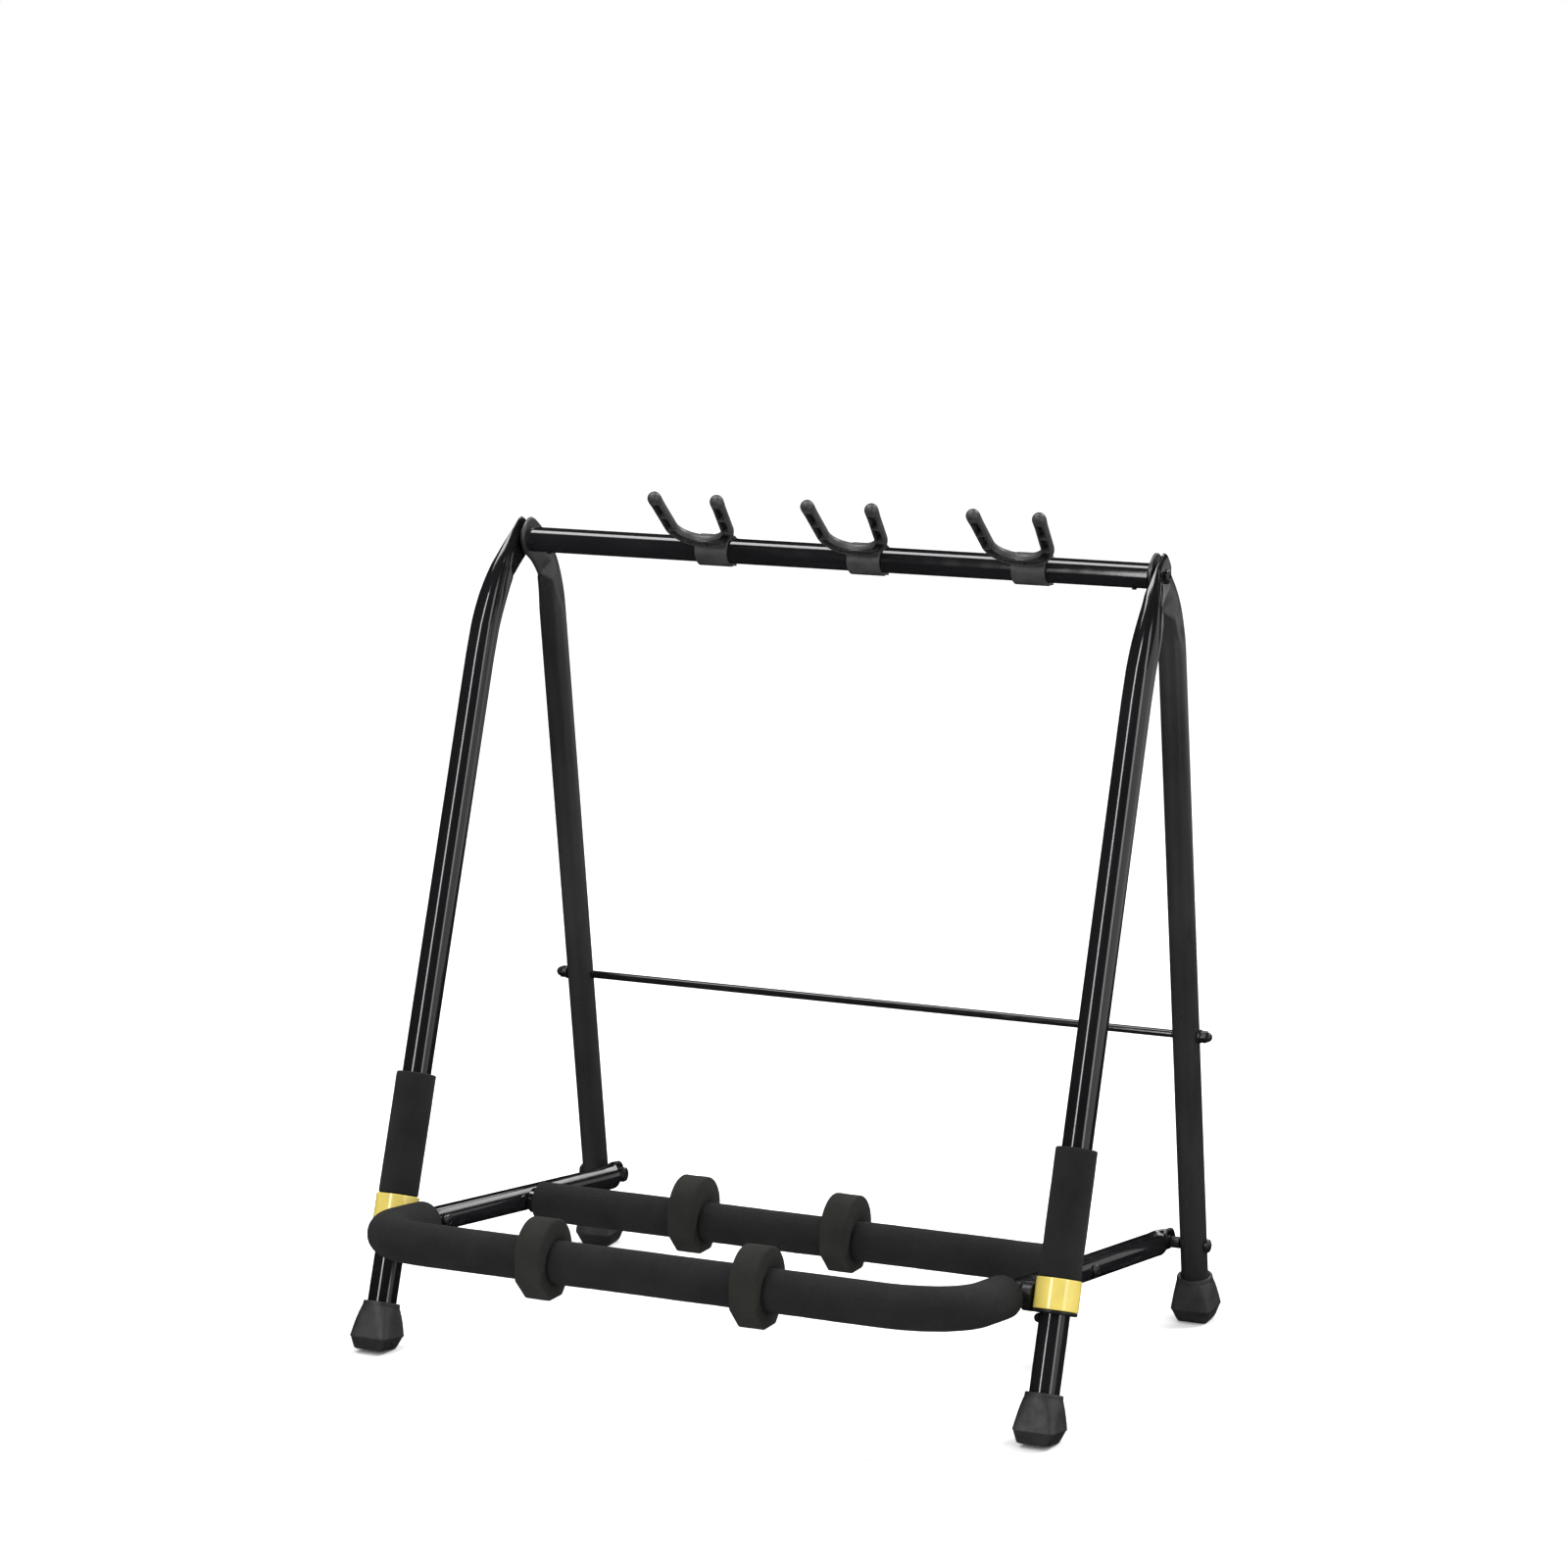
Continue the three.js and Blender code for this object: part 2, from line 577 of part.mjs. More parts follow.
// Centres and headings along the U from the end of the left arm to the end of the right arm. run is
// how far each arm reaches back from the front bar.
function cradlePath(run) {
  const stations = [];
  const place = (x, along, headingX, headingAlong) => {
    const point = frontBar.clone().setX(x).addScaledVector(back, along);
    const heading = back.clone().multiplyScalar(headingAlong).setX(headingX);
    stations.push({ point, heading });
  };
  const bendSteps = 7;
  const bendX = ARM_X - CRADLE_BEND_RADIUS;
  place(-ARM_X, run, 0, -1);
  for (let step = 0; step <= bendSteps; step += 1) {
    const turn = (Math.PI / 2) * (step / bendSteps);
    const x = -bendX - CRADLE_BEND_RADIUS * Math.cos(turn);
    place(x, CRADLE_BEND_RADIUS * (1 - Math.sin(turn)), Math.sin(turn), -Math.cos(turn));
  }
  for (let step = bendSteps; step >= 0; step -= 1) {
    const turn = (Math.PI / 2) * (step / bendSteps);
    const x = bendX + CRADLE_BEND_RADIUS * Math.cos(turn);
    place(x, CRADLE_BEND_RADIUS * (1 - Math.sin(turn)), Math.sin(turn), Math.cos(turn));
  }
  place(ARM_X, run, 0, 1);
  return stations;
}

function cradleRings(stations, radius, sides) {
  return stations.map(({ point, heading }) => {
    const across = new THREE.Vector3().crossVectors(planeNormal, heading).normalize();
    return ring(point, across, planeNormal, radius, radius, sides);
  });
}

// The flattened end of an arm, as rings from the round tube out to its rounded tip.
function tabRings(side) {
  const across = new THREE.Vector3(-side, 0, 0);
  const stationAt = (along, halfWidth, flatness) => {
    const x = side * THREE.MathUtils.lerp(ARM_X, TAB_X, flatness);
    const centre = frontBar
      .clone()
      .setX(x)
      .addScaledVector(back, along)
      .addScaledVector(planeNormal, TAB_RISE * flatness);
    const thin = THREE.MathUtils.lerp(CRADLE_TUBE_RADIUS, TAB_THICKNESS / 2, flatness);
    const wide = THREE.MathUtils.lerp(CRADLE_TUBE_RADIUS, halfWidth, flatness);
    return ring(centre, across, planeNormal, thin, wide, CRADLE_SIDES, 2 + flatness);
  };
  const rings = [];
  const steps = 4;
  for (let step = 1; step <= steps; step += 1) {
    const along = rearPivotRun - TAB_FLAT - TAB_TAPER * (1 - step / steps);
    rings.push(stationAt(along, TAB_HALF_WIDTH, THREE.MathUtils.smoothstep(step / steps, 0, 1)));
  }
  rings.push(stationAt(rearPivotRun, TAB_HALF_WIDTH, 1));
  for (const degrees of [35, 70]) {
    const turn = THREE.MathUtils.degToRad(degrees);
    const along = rearPivotRun + TAB_HALF_WIDTH * Math.sin(turn);
    rings.push(stationAt(along, TAB_HALF_WIDTH * Math.cos(turn), 1));
  }
  return rings;
}

function buildCradleTube() {
  const roundRun = rearPivotRun - TAB_FLAT - TAB_TAPER;
  const outerRings = [
    ...tabRings(-1).toReversed(),
    ...cradleRings(cradlePath(roundRun), CRADLE_TUBE_RADIUS, CRADLE_SIDES),
    ...tabRings(1),
  ];
  const boreRadius = CRADLE_TUBE_RADIUS - TUBE_WALL;
  const bore = loft(cradleRings(cradlePath(roundRun - TUBE_WALL), boreRadius, 10));
  const holes = [];
  for (const side of [-1, 1]) {
    holes.push(crossHole(BOLT_HOLE_RADIUS, side * ARM_X, collarPivot.y, collarPivot.z));
    holes.push(crossHole(SCREW_RADIUS + GAP, side * ARM_X, rearBar.y, rearBar.z));
    holes.push(crossHole(BOLT_HOLE_RADIUS, side * TAB_X, rearPivot.y, rearPivot.z));
  }
  addPiece("cradle_tube", subtract(loft(outerRings), bore, ...holes), paint);
}

function buildCradleFoam() {
  const stations = cradlePath(collarPivotRun - FRONT_FOAM_END);
  const skin = cradleRings(stations, FRONT_FOAM_RADIUS, CRADLE_SIDES);
  const lining = cradleRings(stations, CRADLE_TUBE_RADIUS + GAP, CRADLE_SIDES);
  addPiece("front_bar_foam", loft([...skin, ...lining.toReversed()], true), foam);

  const rearLining = CRADLE_TUBE_RADIUS + GAP;
  const half = REAR_FOAM_HALF_LENGTH;
  const rearFoam = washer(rearLining, REAR_FOAM_RADIUS, -half, half, rearBar, X_AXIS, CRADLE_SIDES);
  addPiece("rear_bar_foam", rearFoam, foam);
}

const REAR_BAR_END = ARM_X - CRADLE_TUBE_RADIUS - 2 * GAP;

function buildRearBar() {
  const bore = CRADLE_TUBE_RADIUS - BAR_WALL;
  const bar = washer(bore, CRADLE_TUBE_RADIUS, -REAR_BAR_END, REAR_BAR_END, rearBar, X_AXIS, 16);
  addPiece("rear_bar", bar, paint);
}

function buildRearBarJoint(prefix, side) {
  const plugDepth = 24;
  const plug = washer(
    SCREW_RADIUS + GAP, CRADLE_TUBE_RADIUS - BAR_WALL - GAP,
    REAR_BAR_END - plugDepth, REAR_BAR_END, rearBar, outward(side), 16,
  );
  addPiece(`${prefix}_rear_bar_plug`, plug, blackPlastic);

  const screwEnd = REAR_BAR_END - 15;
  const screwHead = ARM_X + CRADLE_TUBE_RADIUS + GAP;
  const origin = rearBar.clone().setX(side * screwEnd);
  const screw = bolt(SCREW_RADIUS, screwHead - screwEnd, 5.8, 3.4, origin, outward(side));
  addPiece(`${prefix}_rear_bar_screw`, screw, blackSteel);
}

// The arm turns on a bolt through the rear leg. The bolt stays with the leg, and the nut, its spigot
// and the washer stay with the arm.
function buildRearPivot(prefix, side) {
  const legInner = REAR_LEG_X - REAR_LEG_RADIUS + GAP;
  const legOuter = REAR_LEG_X + REAR_LEG_RADIUS + GAP;
  const boltOrigin = rearPivot.clone().setX(side * legInner);
  const pivotBolt = bolt(
    PIVOT_BOLT_RADIUS, legOuter - legInner, BOLT_HEAD_RADIUS, 4, boltOrigin, outward(side),
  );
  addPiece(`${prefix}_rear_pivot_bolt`, pivotBolt, blackSteel);

  const tabOuter = TAB_X + TAB_THICKNESS / 2 + GAP;
  const spacerEnd = REAR_LEG_X - REAR_LEG_RADIUS - GAP;
  const spacer = washer(BOLT_HOLE_RADIUS, 5.2, tabOuter, spacerEnd, rearPivot, outward(side));
  addPiece(`${prefix}_rear_pivot_washer`, spacer, nylon);

  const nutFace = TAB_X - TAB_THICKNESS / 2 - GAP;
  const hex = rod(7.2, nutFace - 6.5, nutFace, rearPivot, outward(side), 6);
  const spigot = rod(PIVOT_BOLT_RADIUS, nutFace - 1, spacerEnd, rearPivot, outward(side));
  addPiece(`${prefix}_rear_pivot_nut`, unite(hex, spigot), blackSteel);
}

// ---- sliding collars ----------------------------------------------------------------------------

function buildCollar(prefix, side) {
  const origin = collarPivot.clone().setX(side * FRONT_LEG_X);
  const sideHole = crossHole(BOLT_HOLE_RADIUS, side * (FRONT_LEG_X - 20), collarPivot.y, collarPivot.z, 18);
  const flangeTop = COLLAR_BOTTOM + COLLAR_FLANGE;
  const sleeveProfile = [
    [COLLAR_BORE, COLLAR_BOTTOM],
    [COLLAR_FLANGE_RADIUS, COLLAR_BOTTOM],
    [COLLAR_FLANGE_RADIUS, flangeTop],
    [SLEEVE_RADIUS, flangeTop],
    [SLEEVE_RADIUS, GRIP_TOP - 1],
    [COLLAR_BORE, GRIP_TOP - 1],
    [COLLAR_BORE, COLLAR_BOTTOM],
  ];
  const sleeve = turned(sleeveProfile, origin, legUp);
  addPiece(`${prefix}_collar_sleeve`, subtract(sleeve, sideHole), blackPlastic);

  const lining = SLEEVE_RADIUS + GAP;
  const yellow = washer(lining, COLLAR_RING_RADIUS, flangeTop + GAP, COLLAR_RING_TOP, origin, legUp, 24);
  addPiece(`${prefix}_collar_ring`, subtract(yellow, sideHole), yellowPlastic);

  const grip = washer(lining, GRIP_RADIUS, COLLAR_RING_TOP + GAP, GRIP_TOP, origin, legUp);
  addPiece(`${prefix}_foam_grip`, grip, foam);

  const armOuter = ARM_X + CRADLE_TUBE_RADIUS + GAP;
  const ringInner = FRONT_LEG_X - COLLAR_RING_RADIUS - GAP;
  const boss = washer(BOLT_HOLE_RADIUS, BOSS_RADIUS, armOuter, ringInner, collarPivot, outward(side), 16);
  addPiece(`${prefix}_collar_boss`, boss, blackPlastic);

  const boltStart = FRONT_LEG_X - COLLAR_BORE - 2 * GAP;
  const armInner = ARM_X - CRADLE_TUBE_RADIUS - GAP;
  const boltOrigin = collarPivot.clone().setX(side * boltStart);
  const collarBolt = bolt(
    PIVOT_BOLT_RADIUS, boltStart - armInner, BOLT_HEAD_RADIUS, 4, boltOrigin, outward(-side),
  );
  addPiece(`${prefix}_collar_bolt`, collarBolt, blackSteel);
}

// ---- dividers -----------------------------------------------------------------------------------

// Shapes drawn in [y, z] and extruded along +X.
function extrudeAlongX(shape, length, centre) {
  const settings = { depth: length, bevelEnabled: false, curveSegments: 12 };
  const geometry = new THREE.ExtrudeGeometry(shape, settings);
  geometry.translate(0, 0, -length / 2);
  const turn = new THREE.Matrix4().makeBasis(
    new THREE.Vector3(0, 1, 0), new THREE.Vector3(0, 0, 1), new THREE.Vector3(1, 0, 0),
  );
  geometry.applyMatrix4(turn);
  geometry.translate(centre.x, centre.y, centre.z);
  return geometry;
}

function dividerGeometry(centre, foamRadius, lift) {
  const shoulder = DIVIDER_TOP - DIVIDER_RADIUS + lift;
  const hip = -12 + lift;
  const shape = new THREE.Shape();
  shape.moveTo(DIVIDER_RADIUS, hip);
  shape.absarc(0, shoulder, DIVIDER_RADIUS, 0, Math.PI, false);
  shape.lineTo(-DIVIDER_RADIUS, hip);
  shape.lineTo(-DIVIDER_SOLE, DIVIDER_BOTTOM + lift);
  shape.lineTo(DIVIDER_SOLE, DIVIDER_BOTTOM + lift);
  shape.closePath();
  const bore = new THREE.Path();
  bore.absarc(0, 0, foamRadius + GAP, 0, 2 * Math.PI, true);
  shape.holes.push(bore);
  return extrudeAlongX(shape, DIVIDER_THICKNESS, centre);
}

function buildDividers() {
  FRONT_DIVIDER_X.forEach((x, index) => {
    const centre = frontBar.clone().setX(x);
    addPiece(`front_divider_${index + 1}`, dividerGeometry(centre, FRONT_FOAM_RADIUS, 0), dividerFoam);
  });
  REAR_DIVIDER_X.forEach((x, index) => {
    const centre = rearBar.clone().setX(x);
    const geometry = dividerGeometry(centre, REAR_FOAM_RADIUS, REAR_DIVIDER_LIFT);
    addPiece(`rear_divider_${index + 1}`, geometry, dividerFoam);
  });
}

// ---- yokes --------------------------------------------------------------------------------------

// A C-shaped clip with lips that flare out. Its mouth faces back and slightly down.
function clipGeometry(x) {
  const inner = BAR_RADIUS + GAP;
  const outer = inner + CLIP_WALL;
  const lip = outer + 2.5;
  const upperEdge = CLIP_MOUTH_ANGLE + CLIP_MOUTH_HALF;
  const lowerEdge = CLIP_MOUTH_ANGLE - CLIP_MOUTH_HALF + 2 * Math.PI;
  const lipTurn = 0.22;
  const shape = new THREE.Shape();
  shape.absarc(0, 0, outer, upperEdge, lowerEdge, false);
  shape.lineTo(lip * Math.cos(lowerEdge + lipTurn), lip * Math.sin(lowerEdge + lipTurn));
  shape.absarc(0, 0, inner, lowerEdge + lipTurn / 2, upperEdge - lipTurn / 2, true);
  shape.lineTo(lip * Math.cos(upperEdge - lipTurn), lip * Math.sin(upperEdge - lipTurn));
  shape.closePath();
  return extrudeAlongX(shape, CLIP_LENGTH, pivot(x));
}

// A round-section U in a plane that leans forward, with a ball at each tip.
function forkGeometry(x) {
  const base = pivot(x).add(new THREE.Vector3(0, FORK_BASE_Y, FORK_BASE_Z));
  const along = new THREE.Vector3(0, -Math.sin(FORK_TILT), Math.cos(FORK_TILT));
  const normal = new THREE.Vector3().crossVectors(X_AXIS, along);
  const bowlDepth = 20;
  const bowlSteps = 6;
  const stations = [];
  for (let step = 0; step <= bowlSteps; step += 1) {
    const turn = (Math.PI / 2) * (step / bowlSteps);
    stations.push([FORK_BASE_HALF * Math.sin(turn), bowlDepth * (1 - Math.cos(turn)), FORK_ARM_RADIUS]);
  }
  stations.push([FORK_TIP_HALF - 0.5, FORK_ARM_LENGTH - 6, FORK_ARM_RADIUS]);
  for (const degrees of [-10, 30, 60, 80]) {
    const turn = THREE.MathUtils.degToRad(degrees);
    const distance = FORK_ARM_LENGTH + FORK_TIP_RADIUS * Math.sin(turn);
    stations.push([FORK_TIP_HALF, distance, FORK_TIP_RADIUS * Math.cos(turn)]);
  }
  const mirrored = stations.slice(1).map(([across, distance, radius]) => [-across, distance, radius]);
  const whole = [...mirrored.toReversed(), ...stations];
  const rings = whole.map(([across, distance, radius], index) => {
    const before = whole[Math.max(index - 1, 0)];
    const after = whole[Math.min(index + 1, whole.length - 1)];
    const heading = new THREE.Vector2(after[0] - before[0], after[1] - before[1]).normalize();
    const centre = base.clone().addScaledVector(along, distance);
    centre.x += across;
    const sideways = along.clone().multiplyScalar(-heading.x).setX(heading.y);
    return ring(centre, sideways, normal, radius, radius, 12);
  });
  return loft(rings);
}

// The web that joins the fork's bowl to the clip.
function webGeometry(x) {
  const start = pivot(x).add(new THREE.Vector3(0, -9.6, 7.6));
  const along = new THREE.Vector3(0, -Math.sin(FORK_TILT), Math.cos(FORK_TILT));
  const normal = new THREE.Vector3().crossVectors(X_AXIS, along);
  const end = pivot(x).add(new THREE.Vector3(0, FORK_BASE_Y, FORK_BASE_Z)).addScaledVector(along, 4.5);
  const rings = [];
  for (const fraction of [0, 0.5, 1]) {
    const centre = start.clone().lerp(end, fraction);
    rings.push(ring(centre, X_AXIS, normal, THREE.MathUtils.lerp(14.6, 21.5, fraction), 4.4, 16, 5));
  }
  return loft(rings);
}

function buildYokes() {
  YOKE_X.forEach((x, index) => {
    const yoke = unite(clipGeometry(x), webGeometry(x), forkGeometry(x));
    addPiece(`yoke_${index + 1}`, yoke, yokePlastic);
  });
}

// ---- assembly -----------------------------------------------------------------------------------

buildTopBar();
buildTieRod();
buildCradleTube();
buildCradleFoam();
buildRearBar();
buildDividers();
buildYokes();
for (const [prefix, side] of [["left", -1], ["right", 1]]) {
  buildLegs(prefix, side);
  buildFeet(prefix, side);
  buildTopPivot(prefix, side);
  buildBarRivet(prefix, side);
  buildTieRodNut(prefix, side);
  buildRearBarJoint(prefix, side);
  buildRearPivot(prefix, side);
  buildCollar(prefix, side);
}

export default rack;
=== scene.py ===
"""A folding guitar rack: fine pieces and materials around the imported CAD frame."""

import json
import math
from collections import namedtuple

import bpy
from mathutils import Matrix, Vector, noise


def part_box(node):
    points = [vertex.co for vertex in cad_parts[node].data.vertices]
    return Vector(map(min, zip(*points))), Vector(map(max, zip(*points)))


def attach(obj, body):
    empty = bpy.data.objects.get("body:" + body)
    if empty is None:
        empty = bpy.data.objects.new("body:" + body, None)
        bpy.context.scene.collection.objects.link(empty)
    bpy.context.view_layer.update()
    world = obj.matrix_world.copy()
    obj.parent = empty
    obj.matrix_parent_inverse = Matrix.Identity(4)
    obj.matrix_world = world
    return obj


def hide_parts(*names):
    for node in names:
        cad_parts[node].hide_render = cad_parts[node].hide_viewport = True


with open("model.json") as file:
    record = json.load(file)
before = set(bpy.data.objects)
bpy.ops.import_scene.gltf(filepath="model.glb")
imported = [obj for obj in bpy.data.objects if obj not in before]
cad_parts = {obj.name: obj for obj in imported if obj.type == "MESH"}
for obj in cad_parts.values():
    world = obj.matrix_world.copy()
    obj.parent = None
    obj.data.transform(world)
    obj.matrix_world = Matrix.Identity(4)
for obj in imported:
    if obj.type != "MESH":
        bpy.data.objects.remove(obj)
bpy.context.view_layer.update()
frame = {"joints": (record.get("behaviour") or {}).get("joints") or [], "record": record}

# ---- dimensions of the CAD model, in millimetres ------------------------------------------------

MM = 0.001
GAP = 0.3
JOINTS = {joint["name"]: joint for joint in frame["joints"]}
MOUNTS = {mount["name"]: mount for mount in frame["record"]["mounts"]}
PIVOT = Vector(JOINTS["rear_leg_fold"]["pos_m"]) / MM
COLLAR_PIVOT = Vector(JOINTS["cradle_tilt"]["pos_m"]) / MM

FRONT_LEAN = math.radians(18.65)
FRONT_LEG_RADIUS = 12.7
REAR_LEAN = math.radians(8.78)
REAR_LEG_RADIUS = 12.0
LEG_START = 10.0
EYE_THICKNESS = 4.0
FRONT_BEND_RADIUS = 180.0
REAR_BEND_RADIUS = 82.0
PRESS_START = 98.0
PRESS_END = 9.0
PRESS_POWER = 2.8
DENT_HALF = 0.45
DENT_LENGTH = 12.0

# The pressed top of a leg. The eye's outline is measured from the pivot: reach along the leg, and its
# half widths towards the inside and the outside of the bend. A higher corner power is a squarer
# corner. The step on the inside of the bend runs from step_start to step_end below the pivot, and a
# shallow dent of the given depth lies dent_distance below it. DENT_HALF is a share of the half width,
# and DENT_LENGTH is in millimetres.
Eye = namedtuple("Eye", "x reach inside outside inside_corner outside_corner step_start step_end "
                        "dent dent_distance")
FRONT_EYE = Eye(306.0, 13.3, 15.5, 19.0, 1.5, 4.3, 43.0, 28.0, 0.05, 52.0)
REAR_EYE = Eye(298.0, 16.0, 15.5, 19.5, 1.6, 2.6, 50.0, 34.0, 0.17, 60.0)

BAR_RADIUS = 11.1
BAR_WALL = 1.2
BAR_END_X = 294.4
BOLT_RADIUS = 3.9
BOLT_HOLE_RADIUS = 4.3
BOLT_HEAD_RADIUS = 6.2
PIVOT_HEAD_HEIGHT = 2.8
BAR_RIVET_X = 279.0
BAR_RIVET_RADIUS = 1.6
BAR_RIVET_HEAD_RADIUS = 2.4

STOP_SHANK_RADIUS = 2.9
STOP_SHANK_LENGTH = 5.0
STOP_HEAD_RADIUS = 4.0
STOP_HEAD_HEIGHT = 4.8
PIVOT_SPACER_RADIUS = 9.0

TIE_ROD_RADIUS = 3.5
TIE_ROD_THREAD_RADIUS = 2.9
TIE_ROD_END = 318.0
TIE_NUT_BORE = 3.3
TIE_WASHER_RADIUS = 6.2
TIE_WASHER_THICKNESS = 1.5
TIE_NUT_HALF = 5.0
TIE_NUT_DOME = 4.5

ARM_X = 270.6
CRADLE_BEND_RADIUS = 60.0
CRADLE_TUBE_RADIUS = 11.1
TAB_X = 275.6
TAB_THICKNESS = 4.0
TAB_HALF_WIDTH = 9.5
TAB_RISE = 3.0
TAB_FLAT = 8.5
TAB_TAPER = 17.0
TAB_CORNER = 1.4
TAB_BULGE = 0.8
INSERT_RADIUS = 9.6
INSERT_BORE = 3.3
INSERT_LENGTH = 24.0
CROSS_SCREW_RADIUS = 3.0
CROSS_SCREW_GRIP = 15.0
LINK_WASHER_RADIUS = 5.2
LINK_NUT_LENGTH = 6.5
LINK_NUT_ACROSS_FLATS = 12.4
FRONT_BAR_REACH = 356.6
REAR_BAR_REACH = 72.8
REAR_PIVOT_Z = 71.1
TIE_ROD_Z = 267.3
FRONT_FOAM_RADIUS = 18.3
SLEEVE_EDGE = 2.2
SLEEVE_RELIEF = 0.22
FRONT_FOAM_END = 20.0
REAR_FOAM_RADIUS = 17.5
REAR_FOAM_HALF_LENGTH = 252.0

COLLAR_BORE = 13.1
SLEEVE_RADIUS = 15.0
FLANGE_RADIUS = 18.5
COLLAR_BOTTOM = -12.1
FLANGE_THICKNESS = 2.8
COLLAR_RING_RADIUS = 18.8
COLLAR_RING_TOP = 16.9
GRIP_RADIUS = 17.5
BOSS_RADIUS = 12.2
GRIP_TOP = 124.4
GRIP_EDGE = 1.6
GRIP_RELIEF = 0.2

X_AXIS = Vector((1, 0, 0))
SIDES = (("left", -1), ("right", 1))


# ---- materials ----------------------------------------------------------------------------------


class Material:
    """A Principled material and the nodes that vary it."""

    def __init__(self, name, color, roughness, metallic=0.0, coat=0.0, sheen=0.0):
        self.data = bpy.data.materials.new(name)
        self.data.use_nodes = True
        self.tree = self.data.node_tree
        self.shader = self.tree.nodes["Principled BSDF"]
        self.color = color
        self.roughness = roughness
        self.set("Base Color", (*color, 1.0))
        self.set("Roughness", roughness)
        self.set("Metallic", metallic)
        self.set("Coat Weight", coat)
        self.set("Coat Roughness", 0.05)
        self.set("Sheen Weight", sheen)
        coordinates = self.tree.nodes.new("ShaderNodeTexCoord")
        self.position = coordinates.outputs["Object"]
        self.height = None

    def set(self, socket, value):
        self.shader.inputs[socket].default_value = value

    def link(self, source, target):
        self.tree.links.new(source, target)

    def noise(self, scale, detail=3.0, roughness=0.5, stretch=None):
        """Noise of about 1/scale metres, drawn out by stretch along X, Y and Z."""
        node = self.tree.nodes.new("ShaderNodeTexNoise")
        node.inputs["Scale"].default_value = scale
        node.inputs["Detail"].default_value = detail
        node.inputs["Roughness"].default_value = roughness
        source = self.position
        if stretch:
            mapping = self.tree.nodes.new("ShaderNodeMapping")
            mapping.inputs["Scale"].default_value = stretch
            self.link(source, mapping.inputs["Vector"])
            source = mapping.outputs["Vector"]
        self.link(source, node.inputs["Vector"])
        return node.outputs["Fac"]

    def cells(self, scale):
        """Distance to the walls of foam cells of about 1/scale metres."""
        node = self.tree.nodes.new("ShaderNodeTexVoronoi")
        node.inputs["Scale"].default_value = scale
        self.link(self.position, node.inputs["Vector"])
        return node.outputs["Distance"]

    def spread(self, factor, low, high):
        """factor, stretched from its middle range to low..high."""
        node = self.tree.nodes.new("ShaderNodeMapRange")
        node.inputs["From Min"].default_value = 0.3
        node.inputs["From Max"].default_value = 0.7
        node.inputs["To Min"].default_value = low
        node.inputs["To Max"].default_value = high
        self.link(factor, node.inputs["Value"])
        return node.outputs["Result"]

    def vary_color(self, factor, dark, light):
        """Base colour between dark and light times the material's colour."""
        node = self.tree.nodes.new("ShaderNodeMix")
        node.data_type = "RGBA"
        node.inputs["A"].default_value = (*(c * dark for c in self.color), 1.0)
        node.inputs["B"].default_value = (*(c * light for c in self.color), 1.0)
        self.link(self.spread(factor, 0.0, 1.0), node.inputs["Factor"])
        self.link(node.outputs["Result"], self.shader.inputs["Base Color"])

    def vary_roughness(self, factor, low, high):
        self.link(self.spread(factor, low, high), self.shader.inputs["Roughness"])

    def bump(self, factor, strength, distance):
        """Adds relief of that height in metres on top of any before it."""
        node = self.tree.nodes.new("ShaderNodeBump")
        node.inputs["Strength"].default_value = strength
        node.inputs["Distance"].default_value = distance
        self.link(factor, node.inputs["Height"])
        if self.height:
            self.link(self.height, node.inputs["Normal"])
        self.height = node.outputs["Normal"]
        self.link(self.height, self.shader.inputs["Normal"])


def make_enamel(name, color, roughness, specular):
    """Black stoved enamel with a faint orange peel and a few handling marks."""
    material = Material(name, color, roughness)
    material.set("Specular IOR Level", specular)
    material.vary_color(material.noise(9.0), 0.8, 1.35)
    marks = material.noise(60.0, detail=6.0, stretch=(1.0, 1.0, 0.25))
    material.vary_roughness(marks, roughness * 0.8, roughness * 1.5)
    material.bump(material.noise(420.0, detail=1.0), 0.05, 0.0002)
    return material.data


def make_foam(name, color):
    """Closed-cell foam with a smooth matte skin, open pores and slight mottling."""
    material = Material(name, color, 0.92, sheen=0.01)
    material.set("Sheen Roughness", 0.6)
    material.set("Specular IOR Level", 0.12)
    material.vary_color(material.noise(28.0, detail=5.0), 0.82, 1.22)
    material.vary_roughness(material.noise(300.0), 0.82, 0.98)
    material.bump(material.cells(1100.0), 0.35, 0.0003)
    material.bump(material.noise(160.0, detail=4.0), 0.25, 0.0006)
    return material.data


def make_rubber():
    material = Material("foot_rubber", (0.0145, 0.0145, 0.0155), 0.5)
    material.set("Specular IOR Level", 0.3)
    material.vary_color(material.noise(70.0, detail=5.0), 0.75, 1.4)
    material.vary_roughness(material.noise(180.0, detail=4.0), 0.42, 0.62)
    material.bump(material.noise(700.0, detail=4.0), 0.3, 0.0003)
    return material.data


def make_yoke_plastic():
    """Moulded plastic with a fine grain."""
    material = Material("yoke_plastic", (0.023, 0.023, 0.0242), 0.46)
    material.set("Specular IOR Level", 0.45)
    material.vary_color(material.noise(90.0, detail=4.0), 0.8, 1.3)
    material.vary_roughness(material.noise(240.0, detail=4.0), 0.38, 0.56)
    material.bump(material.cells(900.0), 0.25, 0.0003)
    return material.data


def make_black_plastic():
    material = Material("black_plastic", (0.006, 0.006, 0.006), 0.34)
    material.set("Specular IOR Level", 0.25)
    material.vary_roughness(material.noise(120.0), 0.28, 0.45)
    material.bump(material.noise(600.0), 0.12, 0.0002)
    return material.data


